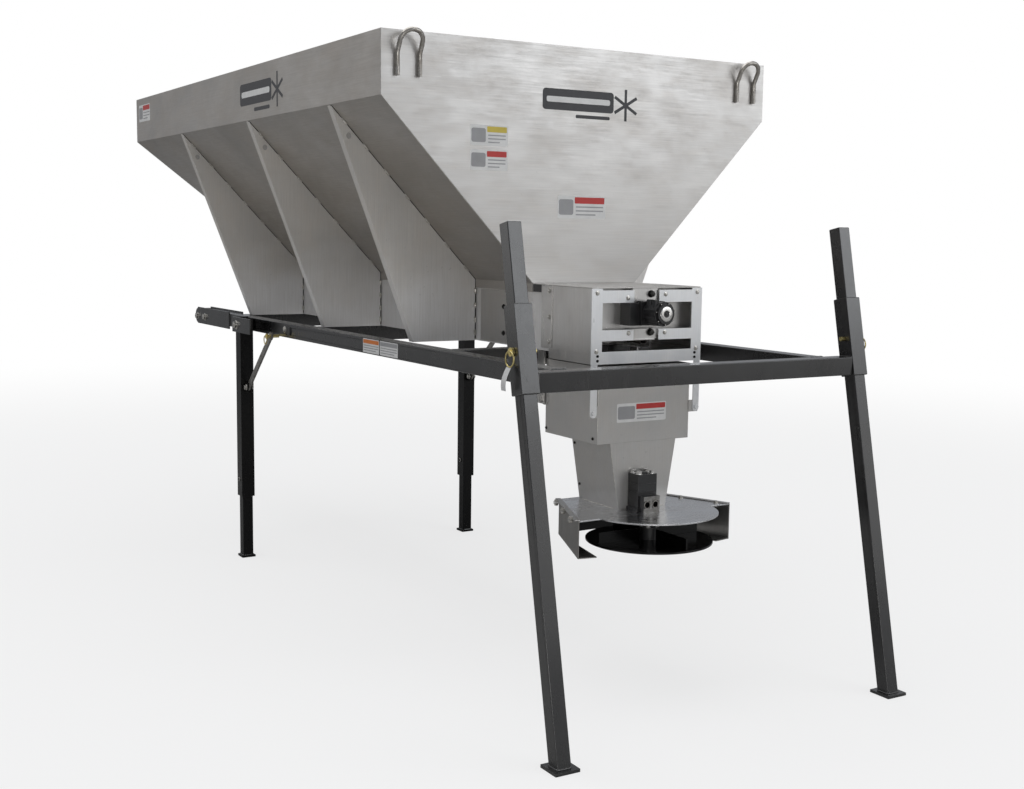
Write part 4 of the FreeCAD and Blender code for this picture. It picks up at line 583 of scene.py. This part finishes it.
def stitch_welds():
    """Short weld beads where each gusset meets the sloped side sheet and the trough, over a thin dark bar of
    painted shadow along the joint.
    """
    lean_from = Vector((HALF_WIDTH - 0.002, 0, LIP_BOTTOM - 0.002))
    lean_to = Vector((TROUGH_HALF + 0.003, 0, TROUGH_TOP))
    run = (lean_to - lean_from).normalized() * 0.013
    for hand, side in SIDES.items():
        m = Mesh()
        for low, _ in islands(f"gussets_{hand}"):
            for face in (low.y - 0.001, low.y + 0.006):
                line = [(side * e.x, face, e.z) for e in (lean_from, lean_to, lean_to - Z * 0.185)]
                # A thin near-black bar along the joint: the gap's shadow, painted.
                m.sweep(line, 0.0014, 6, 1)
                for k in range(7):
                    middle = lean_from.lerp(lean_to, (k + 0.6) / 7.1)
                    ends = [middle - run, middle + run]
                    m.bead(*[(side * e.x, face, e.z - 0.001) for e in ends], 0.0085)
                foot = side * (TROUGH_HALF + 0.004)
                for level in (0.945, 0.985, 1.030, 1.075):
                    m.bead((foot, face, level), (foot, face, level + 0.020), 0.0085)
        m.make(f"gusset_welds_{hand}", "spreader", [STEEL_WELD, SHADE_BLACK])


def corner_seams():
    """Fine continuous weld seams where the rear wall meets the side sheets."""
    m = Mesh()
    for side in SIDES.values():
        edge = side * (HALF_WIDTH - 0.0012)
        corners = [(edge, HOPPER_TOP - 0.004), (edge, LIP_BOTTOM), (side * (TROUGH_HALF + 0.003), TROUGH_TOP)]
        for (x0, z0), (x1, z1) in zip(corners, corners[1:]):
            m.bead((x0, REAR_FACE + 0.003, z0), (x1, REAR_FACE + 0.003, z1), 0.0034)
    m.make("rear_corner_seams", "spreader", STEEL_WELD)


# ---- bolts

def islands(node):
    """The boxes of a node's separate solids, lowest and highest corner, in a fixed order."""
    mesh = NODES[node].data
    key = {}
    owner = []
    for vertex in mesh.vertices:
        spot = tuple(round(c * 20000) for c in vertex.co)
        owner.append(key.setdefault(spot, len(key)))
    parent = list(range(len(key)))

    def root(i):
        while parent[i] != i:
            parent[i] = parent[parent[i]]
            i = parent[i]
        return i

    for face in mesh.polygons:
        first = root(owner[face.vertices[0]])
        for v in face.vertices[1:]:
            parent[root(owner[v])] = first
    groups = {}
    for vertex in mesh.vertices:
        groups.setdefault(root(owner[vertex.index]), []).append(vertex.co)
    boxes = [(Vector([min(c[k] for c in spots) for k in range(3)]),
              Vector([max(c[k] for c in spots) for k in range(3)])) for spots in groups.values()]
    return sorted(boxes, key=lambda b: tuple(round(c, 4) for c in b[0]))


def bolt_on(m, low, high, outward, slot=0, washer=1.35):
    """A washer and chamfered head in place of a plain head's box, pointing outward."""
    outward = Vector(outward)
    middle = (low + high) / 2
    deep = abs((high - low).dot(outward))
    wide = max((high - low)[k] for k in range(3) if not abs(outward[k]) > 0.5) / 2
    m.hexagon_head(middle - outward * deep / 2, outward, wide, deep, slot, wide * washer)


def body_bolts():
    """Detailed heads in place of the plain ones on the rear frame and the lapped strips."""
    m = Mesh()
    for low, high in islands("body_bolts"):
        size = high - low
        if size.x < size.y:
            bolt_on(m, low, high, (math.copysign(1, low.x), 0, 0))
        else:
            black = size.z > 0.014
            bolt_on(m, low, high, (0, -1, 0), 1 if black else 0, 1.15 if black else 1.35)
    piece = m.make("body_bolt_heads", "spreader", [BOLT, BOLT_DARK])
    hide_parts("body_bolts")


def frame_bolts():
    """Detailed heads in place of the plain ones on the gusset feet."""
    m = Mesh()
    for low, high in islands("frame_bolts"):
        bolt_on(m, low, high, (0, 0, 1))
    piece = m.make("foot_bolt_heads", "spreader", BOLT)
    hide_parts("frame_bolts")


# ---- chains

def loop_places(first, second, radius, count):
    """Evenly spaced places along a belt path round two parallel shafts, each with its heading."""
    run = (second - first).normalized()
    up = X.cross(run)
    straight = (second - first).length
    arc = math.pi * radius
    total = 2 * (straight + arc)
    places = []
    for k in range(count):
        along = total * k / count
        if along < straight:
            spot, heading = first + up * radius + run * along, run
        elif along < straight + arc:
            angle = (along - straight) / radius
            spoke = up * math.cos(angle) + run * math.sin(angle)
            spot, heading = second + spoke * radius, X.cross(spoke) * -1
        elif along < 2 * straight + arc:
            spot, heading = second - up * radius - run * (along - straight - arc), -run
        else:
            angle = (along - 2 * straight - arc) / radius
            spoke = -up * math.cos(angle) - run * math.sin(angle)
            spot, heading = first + spoke * radius, X.cross(spoke) * -1
        places.append((spot, heading))
    return places


def link_plate(m, spot, heading, pitch, height, x0, x1, waist=0.72):
    """One side plate: two round ends and a waist, between two places along X."""
    normal = X.cross(heading)
    outline = []
    for end, turn in ((1, 0), (-1, 180)):
        for k in range(7):
            angle = math.radians(turn - 90 + 30 * k)
            outline.append((end * pitch / 2 + height / 2 * math.cos(angle), height / 2 * math.sin(angle)))
        outline.append((0, end * height / 2 * waist))
    m.slab(outline, spot + X * x0, heading, normal, 0, x1 - x0)


def chain_links(m, places, reach, lap, thick, height, pin, barrel):
    """Lapping side plates, a pin and a barrel at each place.

    pin and barrel give half a length, a radius and a number of sides.
    """
    pitch = (places[1][0] - places[0][0]).length
    for k, (spot, heading) in enumerate(places):
        inward = 0.0 if k % 2 else lap
        for out in (-1, 1):
            x = out * (reach - inward) - thick / 2
            link_plate(m, spot + heading * pitch / 2, heading, pitch, height, x, x + thick)
        for half, radius, sides in (pin, barrel):
            m.turned(spot - X * half, X, [(0, radius), (half * 2, radius)], sides)


def drag_chain():
    """Both drag-chain strands: forged links, pins and barrels round the two shafts."""
    drive = shaft_centre("drive_shaft")
    idler = shaft_centre("idler_shaft")
    radius = drive.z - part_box("chain_strands")[0].z - 0.008
    count = 2 * round((idler - drive).length * 2.14 / 0.057 / 2)
    for hand, side in SIDES.items():
        m = Mesh()
        middle = X * side * 0.112
        places = loop_places(drive + middle, idler + middle, radius, count)
        chain_links(m, places, 0.0098, 0.0032, 0.0032, 0.0145, (0.0128, 0.0034, 10), (0.006, 0.0062, 12))
        piece = m.make(f"drag_chain_{hand}", "spreader", CHAIN)
        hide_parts("chain_strands")


def drive_roller_chain():
    """The roller chain from the gearbox to the drive shaft."""
    low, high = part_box("roller_chain")
    radius = 0.0325
    first = Vector((0, low.y + radius + 0.004, high.z - radius - 0.004))
    middle = X * (low.x + high.x) / 2
    m = Mesh()
    places = loop_places(first + middle, shaft_centre("drive_shaft") + middle, radius, 32)
    chain_links(m, places, 0.0041, 0.0016, 0.0014, 0.0078, (0.0049, 0.0018, 8), (0.0022, 0.0036, 12))
    piece = m.make("drive_roller_chain", "spreader", CHAIN)
    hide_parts("roller_chain")


def shaft_centre(node):
    """The middle of a shaft's box, on the machine's centre plane."""
    low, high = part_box(node)
    return Vector((0, (low.y + high.y) / 2, (low.z + high.z) / 2))


# ---- rear extension and motor

def motor_details():
    """The conveyor motor's end ring, its bolt circle and long casting bolts."""
    centre = Vector((0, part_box("conveyor_motor")[0].y, MOTOR_HEIGHT))
    m = Mesh()
    ring = [(0, 0.0185), (0.0005, 0.0205), (0.0022, 0.0205), (0.0028, 0.0195), (0.0028, 0.0105),
            (0.0018, 0.0092), (0, 0.0092)]
    m.turned(centre + Y * 0.001, -Y, ring, 40, 0, closed=True)
    # The motor's centre hole, as a flat disc of painted shade.
    m.turned(centre + Y * 0.001, -Y, [(0, 0.0088), (0.0009, 0.0088)], 24, 1)
    m.turned(centre + Y * 0.001, -Y, [(0, 0.0034), (0.0026, 0.0034), (0.0032, 0.0024)], 6, 2)
    m.make("motor_end_ring", "spreader", [CHROME, SHADE_BLACK, MOTOR])
    bolts = Mesh()
    for k in range(7):
        angle = 2 * math.pi * (k + 0.3) / 7
        spot = centre + Y * 0.0085 + X * 0.0298 * math.cos(angle) + Z * 0.0298 * math.sin(angle)
        bolts.turned(spot, -Y, [(0, 0.0034), (0.0032, 0.0034), (0.0038, 0.0028)], 10)
        bolts.turned(spot - Y * 0.0038, -Y, [(0, 0.0016), (0.0003, 0.0012)], 6, 1)
    bolts.make("motor_bolt_circle", "spreader", [BOLT_DARK, CHROME])
    ribs = Mesh()
    for k in range(10):
        angle = 2 * math.pi * (k + 0.5) / 10
        spoke = X * math.cos(angle) + Z * math.sin(angle)
        start = centre + Y * 0.012 + spoke * 0.0325
        ribs.sweep([start, start + Y * 0.052], 0.0022, 8)
    ribs.make("motor_casting_ribs", "spreader", MOTOR)


def dark_slots():
    """Painted shade: flat dark patches for the adjusting slots in the rear uprights, and dark boxes for the
    shaded open ends beside the hopper's rear wall.
    """
    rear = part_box("rear_frame")[0].y
    m = Mesh()
    for side in SIDES.values():
        for level in (0.918, 0.931):
            origin = Vector((side * 0.1665 - 0.0045, rear, level))
            m.slab(rounded_rectangle(0, 0.009, 0, 0.0075, 0.0035), origin, X, Z, 0, SKIN)
    m.make("upright_slots", "spreader", SHADE_BLACK)
    # The open gap at the trough's top beside the rear wall, filled with dark boxes of painted shade.
    gap_shade = Mesh()
    for side in SIDES.values():
        left, right = sorted((side * (TROUGH_HALF + 0.0002), side * (TROUGH_HALF + 0.0028)))
        gap_shade.box((left, REAR_FACE - 0.062, TROUGH_TOP - 0.024),
                  (right, REAR_FACE - 0.002, TROUGH_TOP - 0.002))
    gap_shade.make("trough_end_gap_shade", "spreader", MOTOR, 0.0008)


def splice_plates():
    """A bolted doubler on each side of the trough between the rear gusset and the rear wall."""
    m = Mesh()
    gusset = islands("gussets_left")[0][0].y
    for side in SIDES.values():
        face = side * TROUGH_HALF
        left, right = sorted((face, face + side * 0.0025))
        m.box((left, gusset - 0.205, 0.935), (right, gusset - 0.035, TROUGH_TOP - 0.028))
        for level in (0.965, 1.045):
            m.hexagon_head((face + side * 0.0025, gusset - 0.175, level), X * side, 0.0055, 0.004, 1, 0.008)
    m.make("splice_plates", "spreader", [STEEL_PLATE, BOLT_DARK], 0.0006)


# ---- chute details

def chute_details():
    """The chute's label, its side bolts and the weld seams of the box and the taper."""
    low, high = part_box("chute_box")
    taper_low, taper_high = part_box("chute_taper")
    rear = taper_low.y
    label("label_chute", "chute", Vector((-0.093, rear, 0.747)), X, Z, 0.169, 0.053, RED, 0.062)
    m = Mesh()
    lean = (TAPER_HALF_TOP - TAPER_HALF_BOTTOM) / (taper_high.z - taper_low.z)
    for side in SIDES.values():
        for y, z in ((rear + 0.022, low.z + 0.014), (high.y - 0.030, low.z + 0.014),
                     (rear + 0.022, high.z - 0.018), (high.y - 0.030, high.z - 0.040)):
            m.hexagon_head((side * CHUTE_HALF, y, z), X * side, 0.0034, 0.0028, 0, 0.0046)
        for z in (taper_high.z - 0.022, taper_low.z + 0.045):
            reach = TAPER_HALF_TOP - (taper_high.z - z) * lean
            m.hexagon_head((side * reach, taper_high.y - 0.012, z), X * side, 0.0032, 0.0028, 0, 0.0044)
    m.make("chute_bolts", "chute", BOLT_DARK)
    seams = Mesh()
    for side in SIDES.values():
        edge = side * (CHUTE_HALF - 0.0012)
        seams.bead((edge, rear + 0.0012, low.z + 0.003), (edge, rear + 0.0012, high.z - 0.003), 0.003)
        seams.bead((side * 0.112, rear + 0.0016, taper_high.z - 0.002),
                   (side * 0.0815, rear + 0.0016, taper_low.z + 0.002), 0.003)
        foot = side * 0.08
        seams.bead((foot, rear + 0.004, taper_low.z), (foot, taper_high.y - 0.004, taper_low.z), 0.006)
    seams.bead((-0.08, rear, taper_low.z), (0.08, rear, taper_low.z), 0.005)
    seams.make("chute_seams", "chute", STEEL_WELD)


def spinner_motor_details():
    """Chrome bolts, the motor's cap, its port rims and the parting lines of the casting."""
    pieces = islands("spinner_motor")
    whole = max(pieces, key=lambda b: b[1].z - b[0].z)
    heads = [b for b in pieces if b is not whole]
    spots = [Vector(((low.x + high.x) / 2, (low.y + high.y) / 2, low.z)) for low, high in heads]
    left, right = min(s.x for s in spots) - MOTOR_BOLT_INSET, max(s.x for s in spots) + MOTOR_BOLT_INSET
    rear, front = min(s.y for s in spots) - MOTOR_BOLT_INSET, max(s.y for s in spots) + MOTOR_BOLT_INSET
    bolts = Mesh()
    for spot in spots:
        bolts.hexagon_head(spot, Z, 0.0078, 0.0076, 0, 0.0094)
    bolts.turned(((left + right) / 2, (rear + front) / 2, spots[0].z), Z,
                 [(0, 0.0145), (0.003, 0.0145), (0.0045, 0.0125)], 32, 1)
    bolts.make("spinner_motor_bolts", "chute", [CHROME, MOTOR])

    ports = Mesh()
    block_rear = whole[0].y
    rim = [(0, 0.0085), (0, PORT_RIM), (0.0012, PORT_RIM), (0.0018, 0.0099), (0.0018, 0.0085)]
    for x in PORTS_X:
        ports.turned((x, block_rear + 0.0002, PORT_HEIGHT), -Y, rim, 28, 0, closed=True)
        # The bottom of each port, a disc of painted shade.
        ports.turned((x, block_rear + 0.0125, PORT_HEIGHT), -Y, [(0, 0.0083), (0.001, 0.0083)], 20, 1)
    face = block_rear - 0.0006
    upper, lower = PORT_HEIGHT + PORT_RIM, PORT_HEIGHT - PORT_RIM
    for low_x, high_x, low_z, high_z in (
            (*PORT_BLOCK_X, upper, PORT_BLOCK_TOP), (*PORT_BLOCK_X, DECK_TOP, lower),
            (PORTS_X[0] + PORT_RIM, PORTS_X[1] - PORT_RIM, lower, upper),
            (PORTS_X[1] + PORT_RIM, PORT_BLOCK_X[1], lower, upper)):
        ports.box((low_x, face, low_z), (high_x, face + 0.0008, high_z), 2)
    ports.make("spinner_port_face", "chute", [STEEL_DULL, SHADE_BLACK, PORT_GRAY])

    ends = Mesh()
    shaft = shaft_centre("spinner_shaft")
    for spot in spots:
        if math.hypot(shaft.x - spot.x, shaft.y - spot.y) > 0.02:
            below = Vector((spot.x, spot.y, DECK_LOW))
            ends.hexagon_head(below, -Z, 0.0085, 0.007, 0, 0.0112)
            ends.turned(below - Z * 0.007, -Z, [(0, 0.0042), (0.006, 0.0042), (0.0068, 0.0034)], 12)
    ends.make("motor_bolt_ends", "chute", CHROME)

    band = Mesh()
    corners = rounded_rectangle(left - 0.0008, right + 0.0008, rear - 0.0003, front + 0.0003, 0.006)
    for level in (0.054, 0.078):
        band.sweep([(x, y, DECK_TOP + level) for x, y in corners], 0.0011, 6, 0, closed=True)
    band.make("spinner_motor_joints", "chute", MOTOR)


def spinner_curtain():
    """The black curtain under the deck that closes the front of the spinner, and its bolts."""
    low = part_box("deflector_left")[0].z + 0.0012

    def bowed(x):
        return CURTAIN_FRONT + CURTAIN_BOW * (1 - (x / CURTAIN_HALF) ** 2)

    across = [CURTAIN_HALF * (i / 9 - 1) for i in range(19)]
    m = Mesh()
    for near, far, bottom, high in ((0.0, 0.004, low, DECK_LOW - 0.0003),
                                    (0.004, 0.022, DECK_LOW - 0.0035, DECK_LOW - 0.0003)):
        outline = [(x, bowed(x) - far) for x in across] + [(x, bowed(x) - near) for x in reversed(across)]
        m.slab(outline, Vector((0, 0, bottom)), X, Y, 0.0, high - bottom)
    m.make("spinner_curtain", "chute", RUBBER, 0.0008)
    bolts = Mesh()
    for x in (-0.09, 0.0, 0.09):
        bolts.hexagon_head((x, bowed(x) - 0.013, DECK_LOW - 0.0033), -Z, 0.0062, 0.006, 0, 0.0085)
    bolts.make("curtain_bolts", "chute", BOLT)


def hub_bolts():
    """Bright bolts that hold the disc's hub, between the fins."""
    middle = shaft_centre("spinner_shaft")
    m = Mesh()
    for quarter in range(4):
        turn = math.radians(45 + 90 * quarter)
        spot = (middle.x + 0.0202 * math.cos(turn), middle.y + 0.0202 * math.sin(turn), HUB_TOP)
        m.hexagon_head(spot, Z, 0.0062, 0.0085, 0, 0.0076)
    m.make("hub_bolts", "spinner", CHROME)


def deck_details():
    """Deck bolts and the rolled top edge of each deflector."""
    bolts = Mesh()
    flanges = Mesh()
    for side in SIDES.values():
        front, rear = (Vector((side * x, y, 0)) for x, y in (DEFLECTOR_FRONT, DEFLECTOR_REAR))
        along = (rear - front).normalized()
        out = Vector((-along.y, along.x, 0))
        for share in (0.12, 0.5, 0.88):
            spot = front.lerp(rear, share) - out * 0.016 + Z * DECK_TOP
            bolts.hexagon_head(spot, Z, 0.0062, 0.005, 0, 0.009)
            bolts.hexagon_head(spot - Z * (DECK_TOP - DECK_LOW), -Z, 0.0062, 0.006, 0, 0.009)
        corners = [front - out * 0.013, rear - out * 0.013, rear + out * 0.003, front + out * 0.003]
        flat = [(c.x, c.y) for c in corners]
        area = sum(a[0] * b[1] - b[0] * a[1] for a, b in zip(flat, flat[1:] + flat[:1]))
        if area < 0:
            flat.reverse()
        flanges.slab(flat, Vector((0, 0, DECK_TOP)), X, Y, 0.0002, 0.0026)
    bolts.make("deck_bolts", "chute", BOLT)
    flanges.make("deflector_top_edges", "chute", STEEL_BOX, 0.0008)


# ---- stand details

def stand_welds():
    """Weld beads round the tube joints of the stand."""
    m = Mesh()
    cross_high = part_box("cross_tubes")[1]
    rail_low, rail_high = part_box("frame_rails")
    rear_y = rail_low.y
    for side in SIDES.values():
        inner, outer = side * (rail_high.x - TUBE), side * rail_high.x
        for z in (rail_low.z + 0.0005, rail_high.z - 0.0005):
            m.bead((inner, rear_y + 0.0005, z), (outer, rear_y + 0.0005, z), 0.006)
        for x in (inner, outer):
            m.bead((x, rear_y + 0.0005, rail_low.z), (x, rear_y + 0.0005, rail_high.z), 0.006)
        face = side * (cross_high.x - 0.0002)
        for z in (rail_low.z, rail_high.z):
            m.bead((face, rear_y - 0.0500, z), (face, rear_y - 0.001, z), 0.006)
        for low, high in islands("cross_tubes"):
            if low.y < rear_y - 0.01:
                continue
            for y in (low.y, high.y):
                m.bead((side * high.x, y, low.z + 0.002), (side * high.x, y, high.z - 0.002), 0.0055)
    m.make("stand_welds", "spreader", BLACK)


def pivot_bolts():
    """Plated bolt heads on the front-leg brackets, the nose rollers, the rails and the leg ears."""
    m = Mesh()
    face = FRONT_LEG_X + TUBE / 2 + BRACKET_GAP + BRACKET_WALL
    knob = [(0, 0.0155), (0.0034, 0.0155), (0.0048, 0.0138)]
    for side in SIDES.values():
        out = X * side
        m.hexagon_head((side * face, FRONT_LEG_Y, 0.905), out, 0.0138, 0.0095, 0, 0.018)
        m.turned((side * (face + 0.0095), FRONT_LEG_Y, 0.905), out, [(0, 0.008), (0.003, 0.007)], 16)
        m.hexagon_head((side * FRONT_LEG_X, FRONT_LEG_Y + 0.045, 0.893), Y, 0.0108, 0.0098, 0, 0.0135)
        for y in (1.450, 1.355):
            m.hexagon_head((side * 0.460, y, 0.901), out, 0.0126, 0.0080, 0, 0.0150)
        m.hexagon_head((side * RAIL_OUTER, 0.452, 0.909), out, 0.0085, 0.0038, 0, 0.0125)
        m.turned((side * RAIL_OUTER, 0.404, 0.905), out, knob, 24, 1)
    m.make("stand_bolts", "spreader", [BOLT, MOTOR])
    for hand, side in SIDES.items():
        ears = Mesh()
        for out in (-1, 1):
            ear = (side * FRONT_LEG_X + out * 0.0102, 0.752, 0.668)
            ears.hexagon_head(ear, X * out, 0.0100, 0.0060, 0, 0.0128)
            lock = (side * FRONT_LEG_X + out * 0.0256, FRONT_LEG_Y, 0.307)
            ears.hexagon_head(lock, X * out, 0.0085, 0.0036)
        ears.make(f"leg_bolts_{hand}", f"front_leg_{hand}", BOLT)


def foot_welds():
    """Weld beads where each leg's tube meets its foot plate."""
    corners = [(-0.0205, -0.021), (0.0205, -0.021), (0.0205, 0.021), (-0.0205, 0.021)]
    for hand, side in SIDES.items():
        for end, body, x, y in (("rear", "rear_leg", REAR_FOOT_X, REAR_FOOT_Y),
                                ("front", "front_foot", FRONT_LEG_X, FRONT_LEG_Y)):
            m = Mesh()
            centre = Vector((side * x, y, 0.0085))
            for (x0, y0), (x1, y1) in zip(corners, corners[1:] + corners[:1]):
                m.bead(centre + X * x0 + Y * y0, centre + X * x1 + Y * y1, 0.006)
            m.make(f"{end}_foot_weld_{hand}", f"{body}_{hand}", BLACK)


def pin_tags():
    """A small white tag that hangs on the left hitch pin's ring."""
    low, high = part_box("hitch_pin_left")
    start = Vector((low.x + 0.002, (low.y + high.y) / 2 + 0.004, low.z + 0.001))
    verts, faces = [], []
    steps = 8
    for k in range(steps + 1):
        share = k / steps
        place = start + Vector((-0.010 * math.sin(share * 2.4), 0.012 * share, -0.058 * share))
        verts += [place + Vector((thick, wide, 0)) for thick in (0, 0.0004) for wide in (-0.011, 0.011)]
        if k:
            a, b = 4 * (k - 1), 4 * k
            faces += [(a, a + 1, b + 1, b), (a + 2, b + 2, b + 3, a + 3)]
            faces += [(a, b, b + 2, a + 2), (a + 1, a + 3, b + 3, b + 1)]
    faces += [(0, 2, 3, 1), tuple(4 * steps + i for i in (0, 1, 3, 2))]
    m = Mesh()
    m.add(verts, faces)
    m.make("pin_tag", "hitch_pin_left", WHITE)


def rail_labels():
    """Two plain labels on the left rail."""
    side = Vector((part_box("frame_rails")[0].x, 0, 0))
    label("label_rail_rear", "spreader", side + Y * -0.358 + Z * 0.884, -Y, Z, 0.126, 0.044, GRAY)
    label("label_rail_front", "spreader", side + Y * -0.232 + Z * 0.884, -Y, Z, 0.120, 0.044, ORANGE)


dress_nodes()
hopper_details()
stitch_welds()
corner_seams()
body_bolts()
frame_bolts()
drag_chain()
drive_roller_chain()
motor_details()
dark_slots()
splice_plates()
chute_details()
spinner_motor_details()
deck_details()
spinner_curtain()
hub_bolts()
stand_welds()
pivot_bolts()
foot_welds()
pin_tags()
rail_labels()


# ---- stage, light and camera

def seen_or_lit(tree, seen, lit, output):
    """Show one shader to the camera and light the machine by the other."""
    ray = new_node(tree, "ShaderNodeLightPath")
    both = new_node(tree, "ShaderNodeMixShader")
    tree.links.new(ray.outputs["Is Camera Ray"], both.inputs[0])
    tree.links.new(lit.outputs[0], both.inputs[1])
    tree.links.new(seen.outputs[0], both.inputs[2])
    tree.links.new(both.outputs[0], new_node(tree, output).inputs["Surface"])


def pale_stage():
    """A wide pale floor. It looks even and pale, and lights the machine as a matt gray floor does."""
    reach = 40.0
    data = bpy.data.meshes.new("floor")
    data.from_pydata([(-reach, -reach, 0), (reach, -reach, 0), (reach, reach, 0), (-reach, reach, 0)],
                     [], [(0, 1, 2, 3)])
    floor = new_object("floor", data)
    material = bpy.data.materials.new("floor_pale")
    tree = empty_tree(material)
    place = new_node(tree, "ShaderNodeTexCoord")
    away = new_node(tree, "ShaderNodeVectorMath")
    away.operation = "LENGTH"
    fade = new_node(tree, "ShaderNodeMapRange", From_Min=1.5, From_Max=9.0, To_Min=0.72, To_Max=1.0)
    fade.interpolation_type = "SMOOTHSTEP"
    matt = new_node(tree, "ShaderNodeBsdfDiffuse", Color=(0.80, 0.80, 0.80, 1))
    glow = new_node(tree, "ShaderNodeEmission", Color=(1, 1, 1, 1), Strength=1.0)
    seen = new_node(tree, "ShaderNodeMixShader")
    lit = new_node(tree, "ShaderNodeBsdfDiffuse", Color=(0.50, 0.495, 0.485, 1))
    for source, target in ((place.outputs["Object"], away.inputs[0]),
                           (away.outputs["Value"], fade.inputs["Value"]),
                           (fade.outputs[0], seen.inputs[0]), (matt.outputs[0], seen.inputs[1]),
                           (glow.outputs[0], seen.inputs[2])):
        tree.links.new(source, target)
    seen_or_lit(tree, seen, lit, "ShaderNodeOutputMaterial")
    data.materials.append(material)


def studio_world():
    """An even white surround to look at, and a dimmer gray one to light by."""
    world = bpy.data.worlds.new("studio")
    tree = empty_tree(world)
    white = new_node(tree, "ShaderNodeBackground", Color=(1, 1, 1, 1), Strength=1.0)
    gray = new_node(tree, "ShaderNodeBackground", Color=(0.36, 0.37, 0.39, 1), Strength=0.9)
    seen_or_lit(tree, white, gray, "ShaderNodeOutputWorld")
    bpy.context.scene.world = world


def softbox(name, place, target, width, height, power, colour=(1, 1, 1)):
    """A large rectangular light aimed at a point."""
    data = bpy.data.lights.new(name, "AREA")
    data.shape = "RECTANGLE"
    data.size = width
    data.size_y = height
    data.energy = power
    data.color = colour
    light = new_object(name, data)
    light.location = place
    aim = Vector(target) - Vector(place)
    light.rotation_euler = aim.to_track_quat("-Z", "Y").to_euler()


def studio_camera():
    """The camera at the viewing angle: behind the machine on its left, a little below the rim."""
    yaw, pitch, roll = (math.radians(a) for a in (30.887, 6.887, 0.747))
    ahead = Vector((math.sin(yaw) * math.cos(pitch), math.cos(yaw) * math.cos(pitch), -math.sin(pitch)))
    level = Vector((math.cos(yaw), -math.sin(yaw), 0))
    above = level.cross(ahead)
    right = level * math.cos(roll) + above * math.sin(roll)
    up = above * math.cos(roll) - level * math.sin(roll)
    data = bpy.data.cameras.new("camera")
    data.sensor_width = 36.0
    data.lens = 46.436
    camera = new_object("camera", data)
    camera.matrix_world = Matrix((
        (right.x, up.x, -ahead.x, -2.197),
        (right.y, up.y, -ahead.y, -4.071),
        (right.z, up.z, -ahead.z, 1.259),
        (0, 0, 0, 1),
    ))
    bpy.context.scene.camera = camera


pale_stage()
studio_world()
softbox("key", (3.6, -5.6, 3.3), (0, -0.8, 1.2), 4.4, 2.2, 70, (0.95, 0.975, 1.0))
softbox("low_key", (3.4, -5.4, 1.3), (0, -0.8, 1.2), 4.4, 1.6, 14, (1.0, 0.985, 0.96))
softbox("top", (-0.4, 0.2, 4.6), (0, 0.2, 1.0), 4.5, 5.0, 130)
softbox("rear_fill", (-1.8, -5.2, 0.45), (-0.3, -0.6, 0.95), 2.4, 0.7, 20, (1.0, 0.985, 0.96))
softbox("left_fill", (-4.6, 4.2, 2.0), (-0.4, 0.3, 1.3), 3.6, 3.0, 15, (1.0, 0.98, 0.95))
studio_camera()
bpy.context.scene.view_settings.view_transform = "Standard"
